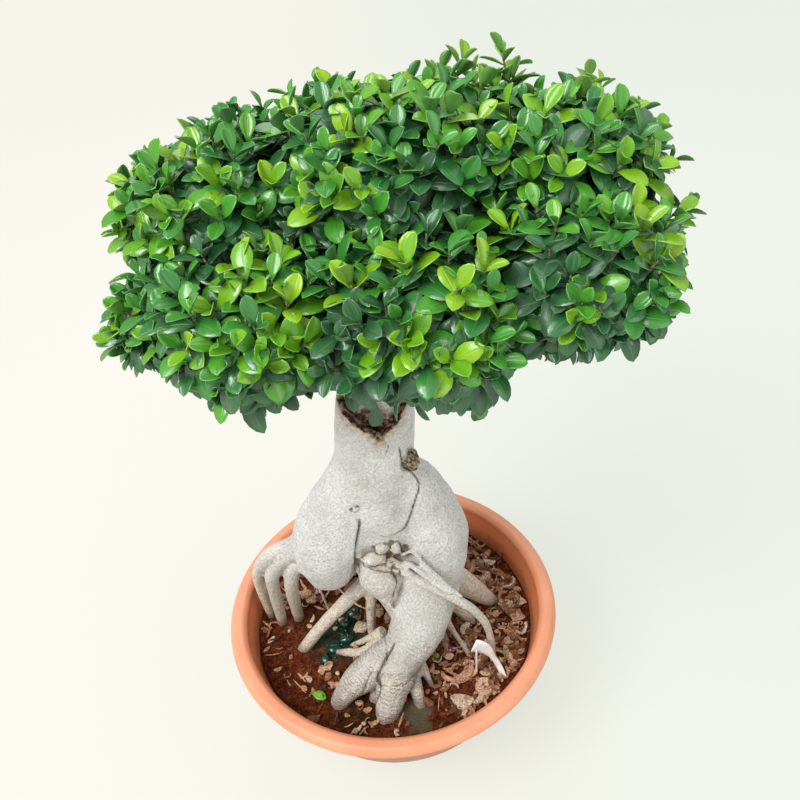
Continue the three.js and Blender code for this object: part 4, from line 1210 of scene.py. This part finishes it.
for number_of_pad, (name, pad) in enumerate(PADS.items()):
    dice = random.Random(500 + number_of_pad)
    bm = bmesh.new()
    others = [p for p in PADS.values() if p is not pad]
    outer_shoots(bm, name, pad, others, dice)
    inner_leaves(bm, pad, others, dice)
    outer_sprigs(bm, name, pad, dice)
    for top, tip, width, age in HANGING if name == "foliage_front" else []:
        hang_leaf(bm, Vector(top), Vector(tip), width, age)
        put_twig(bm, Vector(top) + Vector((0, 14, 46)), Vector(top), 1.0)
    piece("leaves_of_" + name, mesh_from(bm, name), "foliage", leaf_upper, leaf_under, twig_skin,
          replaces=[name])
print("shoots:", len(feet))

# %% [markdown]
# ## Small things on the soil
# A few glass pebbles, a plain white nursery tag and one fallen leaf lie on the soil. They are small in
# the picture, but each has its own material, and each is set down at the soil's own height.

# %% Glass pebbles
GLASS = {"dark_green": (0.005, 0.09, 0.06), "lime": (0.3, 0.65, 0.05), "pink": (0.55, 0.06, 0.25),
         "green": (0.05, 0.4, 0.2)}
PEBBLES = [
    ("dark_green_1", (-50, 8), (9, 8, 6.5)), ("dark_green_2", (-62, -6), (7.5, 7, 5.5)),
    ("dark_green_3", (-60, -28), (9, 7, 6)), ("dark_green_4", (-76, -40), (9, 7, 5)),
    ("dark_green_5", (-86, -54), (6, 6, 5)), ("lime", (47, -64), (5, 4.5, 4)),
    ("pink", (67, -57), (6, 5, 4.5)), ("green", (86, -30), (5.5, 5, 4)),
]
CHIPS = {"dark_green": 4}
glass = {}
for kind, colour in GLASS.items():
    glass[kind], tree, shader = finish(kind + "_glass", colour, Roughness=0.08, Transmission_Weight=0.35,
                                       IOR=1.5, Coat_Weight=0.6, Coat_Roughness=0.05)
    dim = tuple(0.5 * c for c in colour)
    feed(shader, Base_Color=colours(tree, cloudy(tree, here(tree), 260, 2, 1.5), (0.3, dim), (0.7, colour)))
for number_of_pebble, (name, (x, y), size) in enumerate(PEBBLES):
    kind = name.rstrip("_12345")
    bm = bmesh.new()
    bmesh.ops.create_icosphere(bm, subdivisions=3, radius=1)
    for vert in bm.verts:
        bumpy = 1 + 0.16 * noise.noise(vert.co * 1.3 + Vector((number_of_pebble * 5, 0, 0)))
        vert.co = Vector([c * s * bumpy * MM for c, s in zip(vert.co, size)])
    bmesh.ops.translate(bm, verts=bm.verts, vec=Vector((x, y, soil_height(x, y) + size[2] * 0.45)) * MM)
    for chip in range(CHIPS.get(kind, 0)):
        turn, far = chip * 1.9 + number_of_pebble, size[0] + 1.2 + 2 * chip % 3
        spot = Vector((x + far * math.cos(turn), y + far * math.sin(turn), soil_height(x, y) + 0.8)) * MM
        bmesh.ops.create_icosphere(bm, subdivisions=1, radius=(1.5 + 0.7 * (chip % 3)) * MM,
                                   matrix=Matrix.Translation(spot) @ Matrix.Rotation(turn, 4, "X"))
    piece("glass_pebble_" + name, mesh_from(bm, "pebble_" + name), kind + "_glass", glass[kind],
          replaces=["pebble_" + name])

# %% Fallen leaf
FALLEN = (-92, -102)
fallen = marked(LEAF_KINDS[2], age=0.2)
fallen.transform(Matrix.Translation(Vector((*FALLEN, soil_height(*FALLEN) + 3.2)) * MM)
                 @ Matrix.Rotation(-2.1, 4, "Z") @ Matrix.Rotation(0.1, 4, "X") @ Matrix.Scale(0.74, 4)
                 @ Matrix.Translation(Vector((0, -16, 0)) * MM))
piece("fallen_lime_leaf", fallen, "young_leaf", leaf_upper, leaf_under, replaces=["fallen_leaf"])

# %% Bare tag with its stake
TAG_LINE = [(91, -86, 176), (98, -85, 172), (106, -85, 163), (114, -86, 149), (120, -90, 137),
            (124, -98, 127), (126, -102, 112)]
TAG_HEAD, TAG_TAIL, TAG_THICK = 18, 7, 0.8
TAG_FACE = Vector((-0.25, -0.9, 0.35))
STAKE = [(94, -86, 168, 1.2), (93.5, -88, 140, 1.1), (93, -91, 108, 1.0)]
line = smooth_line([(*p, 1) for p in TAG_LINE], 2)[:, :3]


def on_tag(side, t):
    """A point of the bent strip, which narrows from its head to its tail."""
    row = min(len(line) - 1, round((t + 0.5) * (len(line) - 1)))
    along = Vector(line[min(row + 1, len(line) - 1)] - line[max(row - 1, 0)]).normalized()
    across = along.cross(TAG_FACE - along * TAG_FACE.dot(along)).normalized()
    width = TAG_HEAD + (TAG_TAIL - TAG_HEAD) * ramp(t + 0.5, 0.15, 0.5)
    return Vector(line[row]) + across * (side / 2) * width * MM


bm = sheet(4, len(line) - 1, TAG_THICK, on_tag)
bm.from_mesh(tubes([smooth_line(STAKE)]))
tag_plastic, tree, shader = finish("white_plastic", (0.86, 0.86, 0.83), Roughness=0.4)
feed(shader, Base_Color=colours(tree, cloudy(tree, here(tree), 120, 3), (0.3, (0.78, 0.77, 0.72)),
                                (0.7, (0.9, 0.9, 0.88))))
piece("bare_tag", mesh_from(bm, "tag"), "tag", tag_plastic, replaces=["tag"])

# %% [markdown]
# ## Loose bark and fibres
# The mix is full of curled bark strips, thickest on the right and behind the plant. A few shapes are made
# once, each with a few dozen faces. Some are laid one by one where the picture shows them, and the rest are
# strewn at random turns, with a tone of their own each.

# %% Shapes of loose bark
def shaken(place, scale, reach, seed=0):
    """The place, moved a little by a smooth noise."""
    return place + Vector(noise.noise_vector(place * scale + Vector((seed, 0, 0)))) * reach * MM


def loose_shape(bm):
    mesh = mesh_from(bm, "loose_shape", False)
    mesh.attributes.new("tone", "FLOAT", "POINT")
    return mesh


def bark_strip(seed, length, width, curl, roll=0.0, thick=1.5):
    """A ragged strip of bark, curled along its length by an angle in radians, and rolled across it."""
    radius = length / curl

    def point(side, t):
        ragged = 1 + 0.45 * noise.noise(Vector((t * 5, side * 1.5, seed * 3.1)))
        across = side * width / 2 * ragged * (1 - abs(2 * t) ** 3 * 0.7)
        along = t * (1 + 0.25 * noise.noise(Vector((side * 2, seed * 1.7, 0))))
        out = radius + roll * across * across / width
        place = Vector((across, out * math.sin(curl * along), radius - out * math.cos(curl * along))) * MM
        return shaken(place, 140, 1.3, seed)

    return loose_shape(sheet(2, 6, thick, point))


def crescent(radius, width, sweep, thick=2.2):
    """A flat bent flake: a strip turned in its own plane, widest at its middle."""
    def point(side, t):
        far = radius + side * width / 2 * (1 - (2 * t) ** 2 * 0.8)
        place = Vector((far * math.cos(sweep * t), far * math.sin(sweep * t), 1.2 * side * side)) * MM
        return shaken(place, 120, 1.1)

    return loose_shape(sheet(2, 9, thick, point))


def crumb(seed, size, flat=0.7):
    """A rough lump."""
    bm = bmesh.new()
    bmesh.ops.create_icosphere(bm, subdivisions=2, radius=size / 2 * MM)
    for vert in bm.verts:
        vert.co *= 1 + 0.5 * noise.noise(vert.co * 260 + Vector((seed, seed, 0)))
        vert.co.z *= flat
    return loose_shape(bm)


def wood_slice(radius, height):
    """A short round piece of wood with a dark dip at its heart."""
    rim = [(0, height - 2.2), (1.6, height - 2), (2.6, height), (radius - 1, height + 0.3),
           (radius, height - 1), (radius * 0.96, 0), (0, 0)]
    bm = turned(rim, 16)
    for vert in bm.verts:
        vert.co = shaken(vert.co, 150, 1.1)
    return loose_shape(bm)


LOOSE = {
    "flake": bark_strip(1, 13, 8, 0.7, 0.6),
    "shard": bark_strip(2, 19, 6.5, 1.1, 1.0),
    "curl": bark_strip(3, 22, 5.5, 2.6, 0.5),
    "hook": bark_strip(4, 24, 4, 3.8, 0.3),
    "splinter": bark_strip(5, 20, 2.8, 0.5, 0.3),
    "fibre": bark_strip(6, 24, 1.1, 1.2, 0.0, 0.8),
    "slab": bark_strip(8, 27, 16, 0.5, 0.8, 2.4),
    "crescent": crescent(13, 10, 3.0),
    "crumb": crumb(1, 6),
    "stone": crumb(2, 15),
    "slice": wood_slice(9, 4.5),
}

# %% Set them down
# Laid one by one: shape, x, y, turn in degrees, scale, tone from dark to pale, and whether it lies on its
# side.
LAID = [
    ("crescent", 69, -82, -40, 1.25, 0.66, False), ("slice", 100, -110, 0, 1.25, 0.86, False),
    ("slab", 72, -126, 75, 1.0, 0.93, False), ("splinter", 149, 42, 25, 1.4, 0.95, False),
    ("shard", 124, -12, 80, 0.95, 0.72, False), ("slab", 153, -16, 50, 0.8, 0.74, False),
    ("curl", 134, -34, 20, 0.9, 0.66, True), ("curl", 142, -40, 100, 0.9, 0.62, True),
    ("curl", 128, -43, 160, 0.8, 0.7, True), ("curl", 146, -32, 60, 0.8, 0.75, False),
    ("shard", -98, 52, 10, 1.1, 0.85, False), ("slab", -106, 38, 20, 0.75, 0.8, False),
    ("splinter", -88, 40, -30, 1.1, 0.85, False), ("splinter", -116, 60, 30, 1.2, 0.75, False),
    ("shard", -84, -66, 100, 0.9, 0.8, False), ("flake", -90, -70, 30, 0.8, 0.75, False),
    ("stone", -41, -16, 0, 1.1, 0.95, False), ("stone", -66, -1, 40, 0.5, 0.9, False),
    ("stone", -18, 5, 70, 0.8, 0.85, False), ("stone", -112, 44, 10, 0.9, 0.8, False),
    ("crumb", -74, -12, 0, 1.0, 0.9, False), ("crumb", -66, 10, 0, 1.1, 0.85, False),
    ("splinter", 60, -96, 60, 1.1, 0.6, False), ("shard", -60, -108, 80, 0.6, 0.7, False),
    ("fibre", -115, -88, 40, 1.1, 0.8, False), ("fibre", -150, -40, 95, 0.9, 0.7, False),
    ("splinter", 122, 58, 70, 1.0, 0.6, False),
]
STREWN = 1250
# How often each shape is drawn.
SHARES = {"flake": 5, "shard": 6, "curl": 5, "hook": 1, "splinter": 4, "fibre": 2, "crumb": 4}
KINDS = [kind for kind, share in SHARES.items() for _ in range(share)]
BARE_PATCHES = [((-112, -48), 44), ((17, -134), 20), ((-60, -26), 30)]


def set_down(bm, kind, x, y, turn, size, tone, on_side=False, tilt=(0, 0), sink=0.0):
    """Adds one loose shape whose lowest point lies on the soil."""
    copy = marked(LOOSE[kind], tone=tone)
    side = Matrix.Rotation(math.pi / 2, 4, "Y") if on_side else Matrix()
    copy.transform(Matrix.Rotation(turn, 4, "Z") @ Matrix.Rotation(tilt[0], 4, "X")
                   @ Matrix.Rotation(tilt[1], 4, "Y") @ side @ Matrix.Scale(size, 4))
    low = min(vert.co.z for vert in copy.vertices)
    spot = Vector((x, y, soil_height(x, y) + 0.6 - sink)) * MM - Vector((0, 0, low))
    merge(bm, copy, Matrix.Translation(spot))


def clear_of_roots(x, y, room):
    place = Vector((x, y, soil_height(x, y) + 2)) * MM
    return all(far > limb_facts[i][1] + room * MM for _, i, far in limb_places.find_n(place, 6))


dice = random.Random(77)
bm = bmesh.new()
for kind, x, y, turn, size, tone, on_side in LAID:
    set_down(bm, kind, x, y, math.radians(turn), size, tone, on_side)
placed = 0
for _ in range(STREWN * 3):
    far, turn = (SOIL_RIM - 7) * math.sqrt(dice.random()), dice.uniform(0, math.tau)
    x, y = far * math.cos(turn), far * math.sin(turn)
    crowding = 0.2 + 0.8 * ramp(x + 0.5 * y, -50, 60)
    crowding *= min([1.0] + [ramp(math.hypot(x - cx, y - cy), reach * 0.5, reach * 1.2)
                             for (cx, cy), reach in BARE_PATCHES])
    kind = dice.choice(KINDS)
    if placed >= STREWN or dice.random() > crowding + 0.03 or not clear_of_roots(x, y, 3):
        continue
    set_down(bm, kind, x, y, dice.uniform(0, math.tau), dice.uniform(0.4, 1.0 + 0.3 * crowding),
             dice.random(), dice.random() < 0.35 and kind in ("curl", "hook"),
             (dice.gauss(0, 0.3), dice.gauss(0, 0.3)), dice.uniform(0, 1.8))
    placed += 1
print("strewn:", placed)

# %% Red-brown bark
chip_bark, tree, shader = finish("bark_chips", (0.3, 0.15, 0.1), Roughness=0.85)
tone = colours(tree, carried(tree, "tone"), (0.0, (0.12, 0.04, 0.014)), (0.35, (0.33, 0.14, 0.06)),
               (0.65, (0.56, 0.3, 0.17)), (0.85, (0.66, 0.45, 0.3)), (1.0, (0.76, 0.64, 0.5)))
shade = colours(tree, grain(tree, 480, 4, 0.2), (0, (0.45, 0.42, 0.4)), (1, (1.15, 1.12, 1.1)))
feed(shader, Base_Color=blended(tree, 1.0, tone, shade, "MULTIPLY"))
embossed(tree, shader, grain(tree, 650, 3, 0.3), 0.0006, 0.8)
piece("loose_bark", mesh_from(bm, "loose_bark", False), "soil", chip_bark)

# %% [markdown]
# ## Floor
# A wide pale floor stands for the plain backdrop. It glows a little, as a light table does, so that the
# crown's shadow stays faint on it. It isn't part of the object.

# %% Pale floor
bm = bmesh.new()
bmesh.ops.create_grid(bm, x_segments=1, y_segments=1, size=15)
floor = bpy.data.objects.new("floor", mesh_from(bm, "floor", False))
bpy.context.collection.objects.link(floor)
paper, tree, shader = finish("pale_floor", (0.86, 0.86, 0.82), Roughness=0.95, Specular_IOR_Level=0.05,
                             Emission_Strength=0.79)
across = split(tree, here(tree))["X"]
pale = colours(tree, between(tree, across, -0.7, 0.7), (0.0, (0.86, 0.84, 0.77)), (1.0, (0.77, 0.81, 0.735)))
feed(shader, Base_Color=blended(tree, 1.0, pale, (0.25, 0.25, 0.25), "MULTIPLY"), Emission_Color=pale)
floor.data.materials.append(paper)

# %% Sizes, and the end
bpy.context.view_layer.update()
meshes = [o.data for o in bpy.data.objects if o.type == "MESH" and not o.hide_render]
print("triangles:", sum(len(face.vertices) - 2 for mesh in meshes for face in mesh.polygons))
